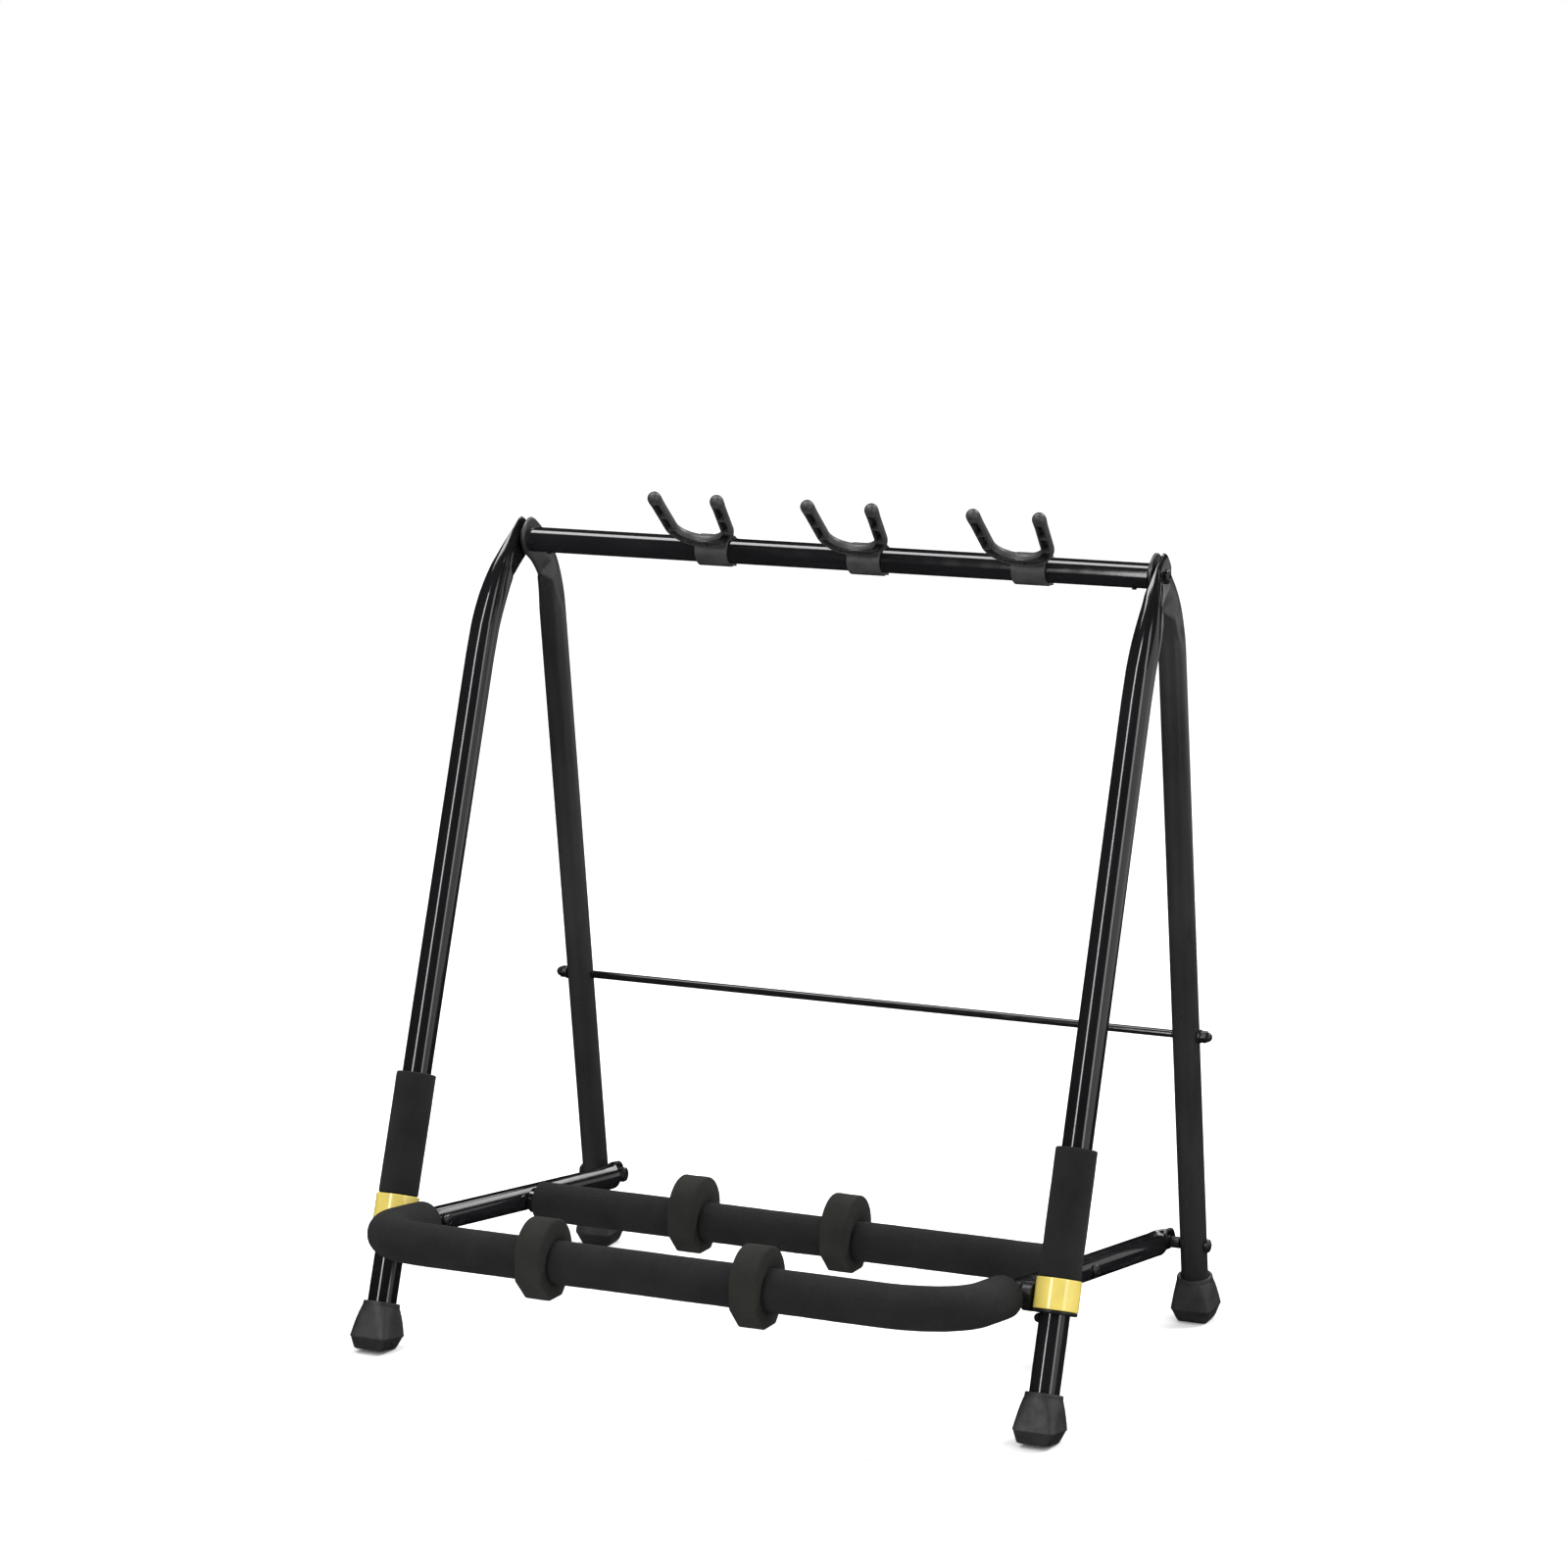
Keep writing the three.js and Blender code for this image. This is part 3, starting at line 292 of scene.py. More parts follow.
def make_yellow_plastic():
    """Glossy opaque plastic with a slightly uneven tint."""
    material = Material("yellow_plastic", (0.45, 0.36, 0.082), 0.27, coat=0.3)
    material.set("Subsurface Weight", 0.08)
    material.set("Subsurface Radius", (0.004, 0.003, 0.001))
    material.vary_color(material.noise(40.0, detail=2.0), 0.92, 1.08)
    material.vary_roughness(material.noise(90.0), 0.16, 0.26)
    material.bump(material.noise(260.0, detail=1.0), 0.08, 0.0002)
    return material.data


def make_black_steel():
    """Black oxide on turned steel, brighter where it is rubbed."""
    material = Material("black_steel", (0.030, 0.030, 0.032), 0.32, metallic=0.85)
    material.vary_color(material.noise(200.0, detail=5.0), 0.5, 1.9)
    material.vary_roughness(material.noise(350.0), 0.24, 0.42)
    material.bump(material.noise(900.0), 0.15, 0.0001)
    return material.data


def make_nylon():
    material = Material("nylon", (0.011, 0.011, 0.012), 0.5)
    material.set("Subsurface Weight", 0.05)
    material.vary_roughness(material.noise(200.0), 0.42, 0.6)
    material.bump(material.noise(500.0), 0.1, 0.0002)
    return material.data


MATERIALS = {
    "gloss_black_tube": make_enamel("gloss_enamel", (0.0050, 0.0050, 0.0056), 0.09, 0.5),
    "satin_black_tube": make_enamel("satin_enamel", (0.0125, 0.0125, 0.0136), 0.30, 0.5),
    "black_steel": make_black_steel(),
    "foam": make_foam("foam_sleeve", (0.0075, 0.0075, 0.0078)),
    "divider_foam": make_foam("divider_block", (0.0115, 0.0120, 0.0100)),
    "foot_rubber": make_rubber(),
    "yoke_plastic": make_yoke_plastic(),
    "black_plastic": make_black_plastic(),
    "yellow_plastic": make_yellow_plastic(),
    "nylon": make_nylon(),
}


# ---- mesh tools ---------------------------------------------------------------------------------


class Skin:
    """Points in millimetres and faces, gathered ring by ring, with every face turned outward."""

    def __init__(self):
        self.points = []
        self.faces = []

    def loft(self, rings, loop=False):
        """A closed skin over rings of equal point count. A ring of one point closes an end."""
        start = len(self.points)
        starts = []
        for ring_points in rings:
            starts.append(len(self.points))
            self.points.extend(ring_points)
        faces = []
        count = max(len(ring_points) for ring_points in rings)
        bands = len(rings) if loop else len(rings) - 1
        for band in range(bands):
            low, high = band, (band + 1) % len(rings)
            for side in range(count):
                corners = [
                    starts[low] + side % len(rings[low]),
                    starts[low] + (side + 1) % len(rings[low]),
                    starts[high] + (side + 1) % len(rings[high]),
                    starts[high] + side % len(rings[high]),
                ]
                faces.append(list(dict.fromkeys(corners)))
        if not loop:
            for end, first in ((rings[0], starts[0]), (rings[-1], starts[-1])):
                if len(end) > 1:
                    around = [first + side for side in range(count)]
                    faces.append(around[::-1] if first == starts[0] else around)
        if self.signed_volume(faces, start) < 0:
            faces = [face[::-1] for face in faces]
        self.faces.extend(faces)
        return self

    def signed_volume(self, faces, origin):
        base = self.points[origin]
        total = 0.0
        for face in faces:
            corner = self.points[face[0]] - base
            for index in range(1, len(face) - 1):
                second = self.points[face[index]] - base
                third = self.points[face[index + 1]] - base
                total += corner.dot(second.cross(third))
        return total

    def piece(self, name, body, slot, node, crease=38.0):
        """The finished piece, riding on a body and standing for a CAD node."""
        mesh = bpy.data.meshes.new(name)
        mesh.from_pydata([point * MM for point in self.points], [], self.faces)
        mesh.validate()
        mesh.polygons.foreach_set("use_smooth", [True] * len(mesh.polygons))
        mesh.set_sharp_from_angle(angle=math.radians(crease))
        piece = bpy.data.objects.new(name, mesh)
        bpy.context.scene.collection.objects.link(piece)
        mesh.materials.append(MATERIALS[slot])
        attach(piece, body)
        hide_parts(node)
        return piece


def outline(sides, power):
    """[x, y] pairs around a unit circle, or with more power a square with rounded corners."""
    pairs = []
    for side in range(sides):
        angle = 2 * math.pi * side / sides
        cos, sin = math.cos(angle), math.sin(angle)
        reach = (abs(cos) ** power + abs(sin) ** power) ** (-1 / power)
        pairs.append((reach * cos, reach * sin))
    return pairs


def ring(centre, across, along, half_across, half_along, sides=48, power=2.0):
    """Points around a centre: an ellipse, or with more power a rounded rectangle."""
    return [
        centre + across * (half_across * x) + along * (half_along * y)
        for x, y in outline(sides, power)
    ]


def perpendiculars(axis):
    """Two unit vectors at right angles to axis and to each other."""
    across = axis.cross(Vector((0, 0, 1)))
    if across.length < 0.3:
        across = axis.cross(Vector((0, 1, 0)))
    across.normalize()
    return across, axis.cross(across).normalized()


def fillet(profile, radius, closed=False, steps=3):
    """The [radius, position] profile with each corner rounded. A point just past each end of a
    rounding keeps the shading of the faces beside it straight."""
    corners = [Vector(point) for point in profile]
    count = len(corners)
    result = []
    for index, corner in enumerate(corners):
        if not closed and index in (0, count - 1):
            result.append(corner)
            continue
        before = corners[index - 1] - corner
        after = corners[(index + 1) % count] - corner
        limit = 0.45 * min(before.length, after.length)
        turn = math.pi - before.angle(after)
        if turn < math.radians(8):
            result.append(corner)
            continue
        cut = min(radius * math.tan(turn / 2), limit)
        start = corner + before.normalized() * cut
        end = corner + after.normalized() * cut
        guard = 0.4 * cut
        result.append(start + before.normalized() * min(guard, 0.04 * before.length))
        for step in range(steps + 1):
            t = step / steps
            result.append(start * (1 - t) ** 2 + corner * (2 * t * (1 - t)) + end * t**2)
        result.append(end + after.normalized() * min(guard, 0.04 * after.length))
    return result


def rounding(edge, steps=4):
    """[along, inset] pairs that lead from an end face round its edge to the full width."""
    turns = [math.pi / 2 * step / steps for step in range(steps + 1)]
    return [(edge * (1 - math.cos(turn)), edge * (1 - math.sin(turn))) for turn in turns]


def revolve(skin, profile, origin, axis, closed=False, sides=64, shape=None):
    """Turns a profile about axis. shape(angle, radius, position) may change the radius."""
    across, along = perpendiculars(axis)
    rings = []
    for radius, position in profile:
        centre = origin + axis * position
        if radius < 1e-6:
            rings.append([centre])
            continue
        points = []
        for side in range(sides):
            angle = 2 * math.pi * side / sides
            reach = shape(angle, radius, position) if shape else radius
            direction = across * math.cos(angle) + along * math.sin(angle)
            points.append(centre + direction * reach)
        rings.append(points)
    return skin.loft(rings, loop=closed)


def turned(name, profile, origin, axis, body, slot, node, edge=0.4, closed=False, sides=64):
    skin = Skin()
    revolve(skin, fillet(profile, edge, closed), origin, axis, closed, sides)
    skin.piece(name, body, slot, node)


def bushing(name, bore, radius, start, end, origin, axis, body, slot, node, edge=0.5, sides=64):
    """A tube, washer or bush with rounded edges."""
    profile = [(bore, start), (radius, start), (radius, end), (bore, end)]
    turned(name, profile, origin, axis, body, slot, node, edge, True, sides)


def hexagon(size):
    """A shape function that keeps within a hexagon of that half width across flats."""

    def limit(angle, radius, _position):
        sector = (angle % (math.pi / 3)) - math.pi / 6
        return min(radius, size / math.cos(sector))

    return limit


def smoothstep(value):
    value = min(max(value, 0.0), 1.0)
    return value * value * (3 - 2 * value)


def mix(low, high, factor):
    return low + (high - low) * factor


# ---- leg axes -----------------------------------------------------------------------------------


class LegAxis:
    """A leg's axis in the side plane: straight up from the foot, then an arc to the pivot."""

    def __init__(self, foot_y, lean, bend_radius):
        self.up = Vector((math.sin(lean), math.cos(lean)))
        self.foot = Vector((foot_y, 0.0))
        self.bend_radius = bend_radius
        to_pivot = Vector((PIVOT.y, PIVOT.z)) - self.foot
        reach = to_pivot.dot(self.up)
        offset = to_pivot - self.up * reach
        self.inward = offset.normalized()
        self.sweep = math.acos(1 - offset.length / bend_radius)
        self.bend_start = reach - bend_radius * math.sin(self.sweep)
        self.length = self.bend_start + bend_radius * self.sweep

    def at(self, distance):
        """The point and the direction of travel at a distance from the floor."""
        if distance <= self.bend_start:
            return self.foot + self.up * distance, self.up.copy()
        angle = min((distance - self.bend_start) / self.bend_radius, self.sweep)
        heading = self.up * math.cos(angle) + self.inward * math.sin(angle)
        point = (
            self.foot
            + self.up * (self.bend_start + self.bend_radius * math.sin(angle))
            + self.inward * (self.bend_radius * (1 - math.cos(angle)))
            + heading * max(distance - self.length, 0.0)
        )
        return point, heading

    def point_at_height(self, z):
        return Vector((0.0, self.foot.x + z / self.up.y * self.up.x, z))


FRONT_SOLE = Vector(MOUNTS["right_front_foot_sole"]["pos_m"]) / MM
REAR_SOLE = Vector(MOUNTS["right_rear_foot_sole"]["pos_m"]) / MM
FRONT_LEG_X = FRONT_SOLE.x
REAR_LEG_X = REAR_SOLE.x
FRONT_AXIS = LegAxis(FRONT_SOLE.y, FRONT_LEAN, FRONT_BEND_RADIUS)
REAR_AXIS = LegAxis(REAR_SOLE.y, -REAR_LEAN, REAR_BEND_RADIUS)
LEG_UP = Vector((0.0, FRONT_AXIS.up.x, FRONT_AXIS.up.y))
REAR_PIVOT = REAR_AXIS.point_at_height(REAR_PIVOT_Z)
TIE_ROD_CENTRE = REAR_AXIS.point_at_height(TIE_ROD_Z)


def make_leg(name, axis, tube_x, eye, radius, body, slot, node):
    """A tube leg. A press flattens its end along the bend, first on the inside of the bend."""
    side = 1 if tube_x > 0 else -1
    plate = EYE_THICKNESS / 2

    def section(distance, inside, outside, flat_inside=0.0, flat_outside=0.0, hollow=0.0):
        """inside and outside are the half widths towards each side of the bend."""
        point, heading = axis.at(distance)
        flatness = (flat_inside + flat_outside) / 2
        centre = Vector((mix(tube_x, side * eye.x, flatness), point.x, point.y))
        outer = Vector((-heading.y, heading.x))
        if outer.dot(axis.inward) > 0:
            outer = -outer
        width = Vector((0.0, outer.x, outer.y))
        points = []
        for sideways, across in outline(72, 2 + flatness):
            local = mix(flat_inside, flat_outside, smoothstep((across + 1) / 2))
            thick = mix(radius, plate, local) * (1 - hollow * math.exp(-((across / DENT_HALF) ** 2)))
            span = outside if across > 0 else inside
            points.append(centre + X_AXIS * (side * sideways * thick) + width * (across * span))
        return points

    def pressed(distance):
        """The section at a distance from the pivot, down the leg."""
        progress = (PRESS_START - distance) / (PRESS_START - PRESS_END)
        lead = min((PRESS_START - distance) / (PRESS_START - eye.step_end), 1.0)
        drop = smoothstep((eye.step_start - distance) / (eye.step_start - eye.step_end))
        flat_outside = progress**PRESS_POWER
        flat_inside = max(flat_outside, mix(lead**3 * 0.8, 1.0, drop))
        inside = mix(radius, eye.inside, drop)
        outside = mix(radius, eye.outside, progress**2)
        hollow = eye.dent * math.exp(-(((distance - eye.dent_distance) / DENT_LENGTH) ** 2))
        return section(axis.length - distance, inside, outside, flat_inside, flat_outside, hollow)

    def tip(fraction):
        """The rounded end of the eye, where fraction runs from the pivot to its tip."""
        inside = eye.inside * (1 - fraction**eye.inside_corner) ** (1 / eye.inside_corner)
        outside = eye.outside * (1 - fraction**eye.outside_corner) ** (1 / eye.outside_corner)
        return section(axis.length + eye.reach * fraction, inside, outside, 1, 1)

    rings = []
    for distance, inset in ((0.5, 1.5), (0.0, 0.6), (0.6, 0.0), (1.2, 0.0)):
        rings.append(section(LEG_START + distance, radius - inset, radius - inset))
    straight_steps = 24
    press_start = axis.length - PRESS_START
    for step in range(1, straight_steps + 1):
        rings.append(section(mix(LEG_START + 1.2, press_start, step / straight_steps), radius, radius))
    press_steps = 80
    for step in range(1, press_steps + 1):
        rings.append(pressed(mix(PRESS_START, PRESS_END, step / press_steps)))
    tip_steps = 24
    for step in range(tip_steps):
        rings.append(tip(math.sin(math.pi / 2 * step / tip_steps)))
    rings.append(tip(0.9995))
    Skin().loft(rings).piece(name, body, slot, node, crease=50)


FOOT_TOP = 42.5
FOOT_LIP_RADIUS = 16.0
FLARE_TOP = 39.4
FLARE_TOP_HALF = 15.95
FLARE_END = 14.6
FLARE_END_HALF = 18.65
WAIST_HALF = 18.8
WAIST_TILT = 0.45
SKIRT_TOP = 12.5
SKIRT_TOP_HALF = 18.3
SKIRT_END_HALF = 13.4
SOLE_HALF = 13.7
SOLE_REACH = 14.0
RIB_COUNT = 6
RIB_PITCH = 1.6
RIB_DEPTH = 0.4


def make_foot(name, axis, x, leg_radius, body, node):
    """A rubber foot: a socket with a lip, a flare to a square waist, and a sole on its back edge."""
    lean = math.atan2(axis.up.x, axis.up.y)
    leg_width = Vector((0.0, -axis.up.y, axis.up.x))
    floor_width = Vector((0.0, -1.0, 0.0))
    sides = 72

    def centre(distance):
        point, _ = axis.at(distance)
        return Vector((x, point.x, point.y))

    def band(distance, half, power, tilt=0.0):
        """tilt runs from 0, level with the floor, to 1, square to the leg."""
        width = floor_width.lerp(leg_width, tilt)
        return ring(centre(distance), X_AXIS, width, half, half, sides, power)

    rings = [
        band(LEG_START - GAP, leg_radius + GAP, 2, 1),
        band(FOOT_TOP - 1.1, leg_radius + GAP, 2, 1),
        band(FOOT_TOP - 0.2, leg_radius + 0.9, 2, 1),
        band(FOOT_TOP, FOOT_LIP_RADIUS - 1.1, 2, 1),
        band(FOOT_TOP - 0.2, FOOT_LIP_RADIUS - 0.3, 2, 1),
        band(FOOT_TOP - 0.9, FOOT_LIP_RADIUS, 2.02, 1),
        band(FOOT_TOP - 2.6, FOOT_LIP_RADIUS + 0.15, 2.06, 0.98),
        band(FLARE_TOP, FLARE_TOP_HALF, 2.08, 0.97),
    ]
    flare_steps = 9
    for step in range(1, flare_steps + 1):
        t = step / flare_steps
        half = mix(FLARE_TOP_HALF, FLARE_END_HALF, t)
        power = mix(2.08, 7.5, t**1.2)
        rings.append(band(mix(FLARE_TOP, FLARE_END, t), half, power, mix(0.97, WAIST_TILT, t)))
    rings += [
        band(SKIRT_TOP + 1.4, WAIST_HALF, 8, WAIST_TILT),
        band(SKIRT_TOP + 0.6, WAIST_HALF - 0.05, 8, WAIST_TILT),
        band(SKIRT_TOP, WAIST_HALF - 0.4, 8, WAIST_TILT),
    ]
    for rib in range(RIB_COUNT):
        top = SKIRT_TOP - 0.2 - rib * RIB_PITCH
        for drop, depth in ((0.0, RIB_DEPTH), (0.5, RIB_DEPTH), (0.65, 0.0), (1.45, 0.0)):
            distance = top - drop
            t = distance / SKIRT_TOP
            half = mix(SKIRT_END_HALF, SKIRT_TOP_HALF, t) - depth
            rings.append(band(distance, half, mix(12, 8, t), WAIST_TILT))
    lift = SOLE_REACH * WAIST_TILT * math.sin(abs(lean))
    rings += [
        band(lift + 0.6, SOLE_HALF, 12, WAIST_TILT),
        band(lift + 0.15, SOLE_HALF - 0.2, 11, WAIST_TILT),
        band(lift + 0.02, SOLE_HALF - 0.6, 10, WAIST_TILT),
    ]
    Skin().loft(rings).piece(name, body, "foot_rubber", node, crease=30)


# ---- fasteners ----------------------------------------------------------------------------------


def button_bolt(name, shank_start, head_start, head_radius, head_height, origin, axis, body, node,
                shank_radius=BOLT_RADIUS, socket=2.0):
    """A domed socket-head bolt. The head stands on the end of its shank, away from origin."""
    skin = Skin()
    top = head_start + head_height
    profile = [
        (0.0, shank_start),
        (shank_radius - 0.5, shank_start),
        (shank_radius, shank_start + 0.5),
        (shank_radius, head_start),
        (head_radius, head_start),
        (head_radius, head_start + head_height * 0.3),
    ]
    profile = fillet(profile, 0.35)
    for step in range(1, 7):
        turn = math.radians(12 * step)
        radius = head_radius * math.cos(turn) if step < 6 else socket + 0.4
        height = head_start + head_height * (0.3 + 0.7 * math.sin(turn) / math.sin(math.radians(72)))
        if radius > socket + 0.6 or step == 6:
            profile.append(Vector((radius, min(height, top))))
    profile.append(Vector((socket, top - 0.35)))
    depth = min(2.2, head_height * 0.6)
    profile.append(Vector((socket, top - depth)))
    profile.append(Vector((0.0, top - depth - 0.5)))
    key = hexagon(socket * math.cos(math.pi / 6))

    def shape(angle, radius, position):
        in_socket = position < top - 0.2 and radius <= socket + 1e-6 and position > head_start
        return key(angle, radius, position) if in_socket else radius

    revolve(skin, profile, origin, axis, shape=shape, sides=48)
    skin.piece(name, body, "black_steel", node, crease=32)


def hex_nut(skin, origin, axis, start, end, across_flats, bore):
    """A nut with both ends chamfered, and its bore."""
    half = across_flats / 2
    corner = half / math.cos(math.pi / 6)
    chamfer = (corner - half) * 0.6
    profile = [
        (bore, start),
        (half * 0.96, start),
        (corner, start + chamfer),
        (corner, end - chamfer),
        (half * 0.96, end),
        (bore, end),
    ]
    revolve(skin, profile, origin, axis, closed=True, sides=96, shape=hexagon(half))


# ---- side frames --------------------------------------------------------------------------------


def make_side_frames(prefix, side):
    make_leg(f"{prefix}_front_tube", FRONT_AXIS, side * FRONT_LEG_X, FRONT_EYE, FRONT_LEG_RADIUS,
             "front_frame", "gloss_black_tube", f"{prefix}_front_leg")
    make_leg(f"{prefix}_rear_tube", REAR_AXIS, side * REAR_LEG_X, REAR_EYE, REAR_LEG_RADIUS,
             "rear_frame", "satin_black_tube", f"{prefix}_rear_leg")
    make_foot(f"{prefix}_front_boot", FRONT_AXIS, side * FRONT_LEG_X, FRONT_LEG_RADIUS,
              "front_frame", f"{prefix}_front_foot")
    make_foot(f"{prefix}_rear_boot", REAR_AXIS, side * REAR_LEG_X, REAR_LEG_RADIUS,
              "rear_frame", f"{prefix}_rear_foot")

    stop = COLLAR_PIVOT + LEG_UP * (COLLAR_BOTTOM - GAP - STOP_HEAD_RADIUS)
    stop.x = side * (FRONT_LEG_X - FRONT_LEG_RADIUS)
    shank, head, height = STOP_SHANK_RADIUS, STOP_HEAD_RADIUS, STOP_HEAD_HEIGHT
    profile = [
        (0, -STOP_SHANK_LENGTH), (shank, -STOP_SHANK_LENGTH), (shank, GAP), (head, GAP),
        (head - 0.1, height - 2.9), (head - 0.9, height - 1.2), (head - 2.4, height - 0.2), (0, height),
    ]
    turned(f"{prefix}_stop_rivet", profile, stop, X_AXIS * -side, "front_frame", "black_steel",
           f"{prefix}_stop_pin", edge=0.5)


def make_top_bar():
    origin = Vector((0, PIVOT.y, PIVOT.z))
    bushing("top_tube", BAR_RADIUS - BAR_WALL, BAR_RADIUS, -BAR_END_X, BAR_END_X, origin, X_AXIS,
            "front_frame", "gloss_black_tube", "top_bar", edge=0.35, sides=72)


def make_top_pivot(prefix, side):
    origin = Vector((0, PIVOT.y, PIVOT.z))
    outward = X_AXIS * side
    rear_inner = REAR_EYE.x - EYE_THICKNESS / 2 - GAP
    flange = BAR_RADIUS - GAP
    plug = BAR_RADIUS - BAR_WALL - GAP
    profile = [
        (BOLT_HOLE_RADIUS, BAR_END_X - 30), (plug, BAR_END_X - 30), (plug, BAR_END_X + GAP),
        (flange, BAR_END_X + GAP), (flange, rear_inner), (BOLT_HOLE_RADIUS, rear_inner),
    ]
    turned(f"{prefix}_bar_cap", profile, origin, outward, "front_frame", "black_plastic",
           f"{prefix}_bar_plug", edge=0.5, closed=True)
    start = REAR_EYE.x + EYE_THICKNESS / 2 + GAP
    end = FRONT_EYE.x - EYE_THICKNESS / 2 - GAP
    bushing(f"{prefix}_top_spacer", BOLT_HOLE_RADIUS, PIVOT_SPACER_RADIUS, start, end, origin,
            outward, "front_frame", "nylon", f"{prefix}_pivot_washer")
    head = FRONT_EYE.x + EYE_THICKNESS / 2 + GAP
    button_bolt(f"{prefix}_top_bolt", BAR_END_X - 20, head, BOLT_HEAD_RADIUS, PIVOT_HEAD_HEIGHT, origin,
                outward, "front_frame", f"{prefix}_pivot_bolt")
    below = BAR_RADIUS + GAP
    profile = [
        (0, 6), (BAR_RIVET_RADIUS, 6), (BAR_RIVET_RADIUS, below), (BAR_RIVET_HEAD_RADIUS, below),
        (BAR_RIVET_HEAD_RADIUS, below + 0.5), (BAR_RIVET_HEAD_RADIUS * 0.7, below + 1.1), (0, below + 1.3),
    ]
    rivet = origin + X_AXIS * (side * BAR_RIVET_X)
    turned(f"{prefix}_bar_pin", profile, rivet, Vector((0, 0, -1)), "front_frame", "black_steel",
           f"{prefix}_bar_rivet", edge=0.3, sides=32)


def make_tie_rod():
    shoulder = REAR_LEG_X - REAR_LEG_RADIUS - GAP
    thread = TIE_ROD_THREAD_RADIUS
    profile = [
        (0, -TIE_ROD_END), (thread, -TIE_ROD_END), (thread, -shoulder), (TIE_ROD_RADIUS, -shoulder),
        (TIE_ROD_RADIUS, shoulder), (thread, shoulder), (thread, TIE_ROD_END), (0, TIE_ROD_END),
    ]
    turned("tie_rod_bar", profile, TIE_ROD_CENTRE, X_AXIS, "rear_frame", "gloss_black_tube",
           "tie_rod", edge=0.5, sides=32)


def make_tie_rod_end(prefix, side):
    outward = X_AXIS * side
    face = REAR_LEG_X + REAR_LEG_RADIUS + GAP
    washer_end = face + TIE_WASHER_THICKNESS
    bushing(f"{prefix}_tie_washer", TIE_NUT_BORE, TIE_WASHER_RADIUS, face, washer_end, TIE_ROD_CENTRE,
            outward, "rear_frame", "black_steel", f"{prefix}_tie_rod_washer", edge=0.3)

    start = washer_end + GAP
    corner = TIE_NUT_HALF / math.cos(math.pi / 6)
    dome = TIE_NUT_DOME
    dome_start = start + 5.7
    profile = [
        (0.0, start + 5.6), (TIE_NUT_BORE, start + 5.2), (TIE_NUT_BORE, start), (4.8, start),
        (corner, start + 0.6), (corner, start + 5.0), (4.9, start + 5.6), (dome, dome_start),
    ]
    for step in range(1, 8):
        turn = math.pi / 2 * step / 7
        profile.append((dome * math.cos(turn), dome_start + dome * math.sin(turn)))
    skin = Skin()
    revolve(skin, profile, TIE_ROD_CENTRE, outward, sides=96, shape=hexagon(TIE_NUT_HALF))
    skin.piece(f"{prefix}_dome_nut", "rear_frame", "black_steel", f"{prefix}_acorn_nut", crease=30)


# ---- cradle -------------------------------------------------------------------------------------

BACK = (REAR_PIVOT - Vector((0, COLLAR_PIVOT.y, COLLAR_PIVOT.z))).normalized()
PLANE_NORMAL = X_AXIS.cross(BACK)


def cradle_point(y):
    """The point of the cradle's plane above or below y on the object's middle plane."""
    middle = Vector((0, COLLAR_PIVOT.y, COLLAR_PIVOT.z))
    return middle + BACK * ((y - COLLAR_PIVOT.y) / BACK.y)


FRONT_BAR = cradle_point(PIVOT.y - FRONT_BAR_REACH)
REAR_BAR = cradle_point(PIVOT.y - REAR_BAR_REACH)
COLLAR_RUN = (Vector((0, COLLAR_PIVOT.y, COLLAR_PIVOT.z)) - FRONT_BAR).length
REAR_RUN = (REAR_PIVOT - FRONT_BAR).length


def cradle_path(run, arm_steps=16, bend_steps=20, bar_steps=16):
    """Centres and headings along the U, whose arms reach back by run from the front bar."""
    bend_x = ARM_X - CRADLE_BEND_RADIUS
    half = []
    for step in range(bend_steps, -1, -1):
        turn = math.pi / 2 * step / bend_steps
        x = bend_x + CRADLE_BEND_RADIUS * math.cos(turn)
        half.append((x, CRADLE_BEND_RADIUS * (1 - math.sin(turn)), math.sin(turn), math.cos(turn)))
    for step in range(1, arm_steps + 1):
        half.append((ARM_X, mix(CRADLE_BEND_RADIUS, run, step / arm_steps), 0, 1))
    bar = [(mix(-bend_x, bend_x, step / bar_steps), 0, 1, 0) for step in range(1, bar_steps)]
    mirrored = [(-x, along, across, -back) for x, along, across, back in reversed(half)]
    return [
        (FRONT_BAR + Vector((x, 0, 0)) + BACK * along, X_AXIS * across + BACK * back)
        for x, along, across, back in mirrored + bar + half
    ]


def path_ring(station, radius, sides=48):
    point, heading = station
    across = PLANE_NORMAL.cross(heading).normalized()
    return ring(point, across, PLANE_NORMAL, radius, radius, sides)


def tab_rings(side, sides=48):
    """The flattened end of an arm, out to its rounded tip."""
    across = X_AXIS * -side
    rings = []

    def station(along, half_width, flatness):
        centre = FRONT_BAR + Vector((side * mix(ARM_X, TAB_X, flatness), 0, 0)) + BACK * along
        centre += PLANE_NORMAL * (TAB_RISE * flatness)
        thin = mix(CRADLE_TUBE_RADIUS, TAB_THICKNESS / 2, flatness)
        power = 2 + TAB_CORNER * flatness
        rings.append(ring(centre, across, PLANE_NORMAL, thin, half_width, sides, power))

    steps = 14
    for step in range(1, steps + 1):
        flatness = smoothstep(step / steps)
        along = REAR_RUN - TAB_FLAT - TAB_TAPER * (1 - step / steps)
        bulge = TAB_BULGE * math.sin(math.pi * step / steps)
        station(along, mix(CRADLE_TUBE_RADIUS, TAB_HALF_WIDTH, flatness) + bulge, flatness)
    station(REAR_RUN, TAB_HALF_WIDTH, 1)
    tip_steps = 9
    for step in range(1, tip_steps + 1):
        turn = math.pi / 2 * step / tip_steps * 0.985
        station(REAR_RUN + TAB_HALF_WIDTH * math.sin(turn), TAB_HALF_WIDTH * math.cos(turn), 1)
    return rings


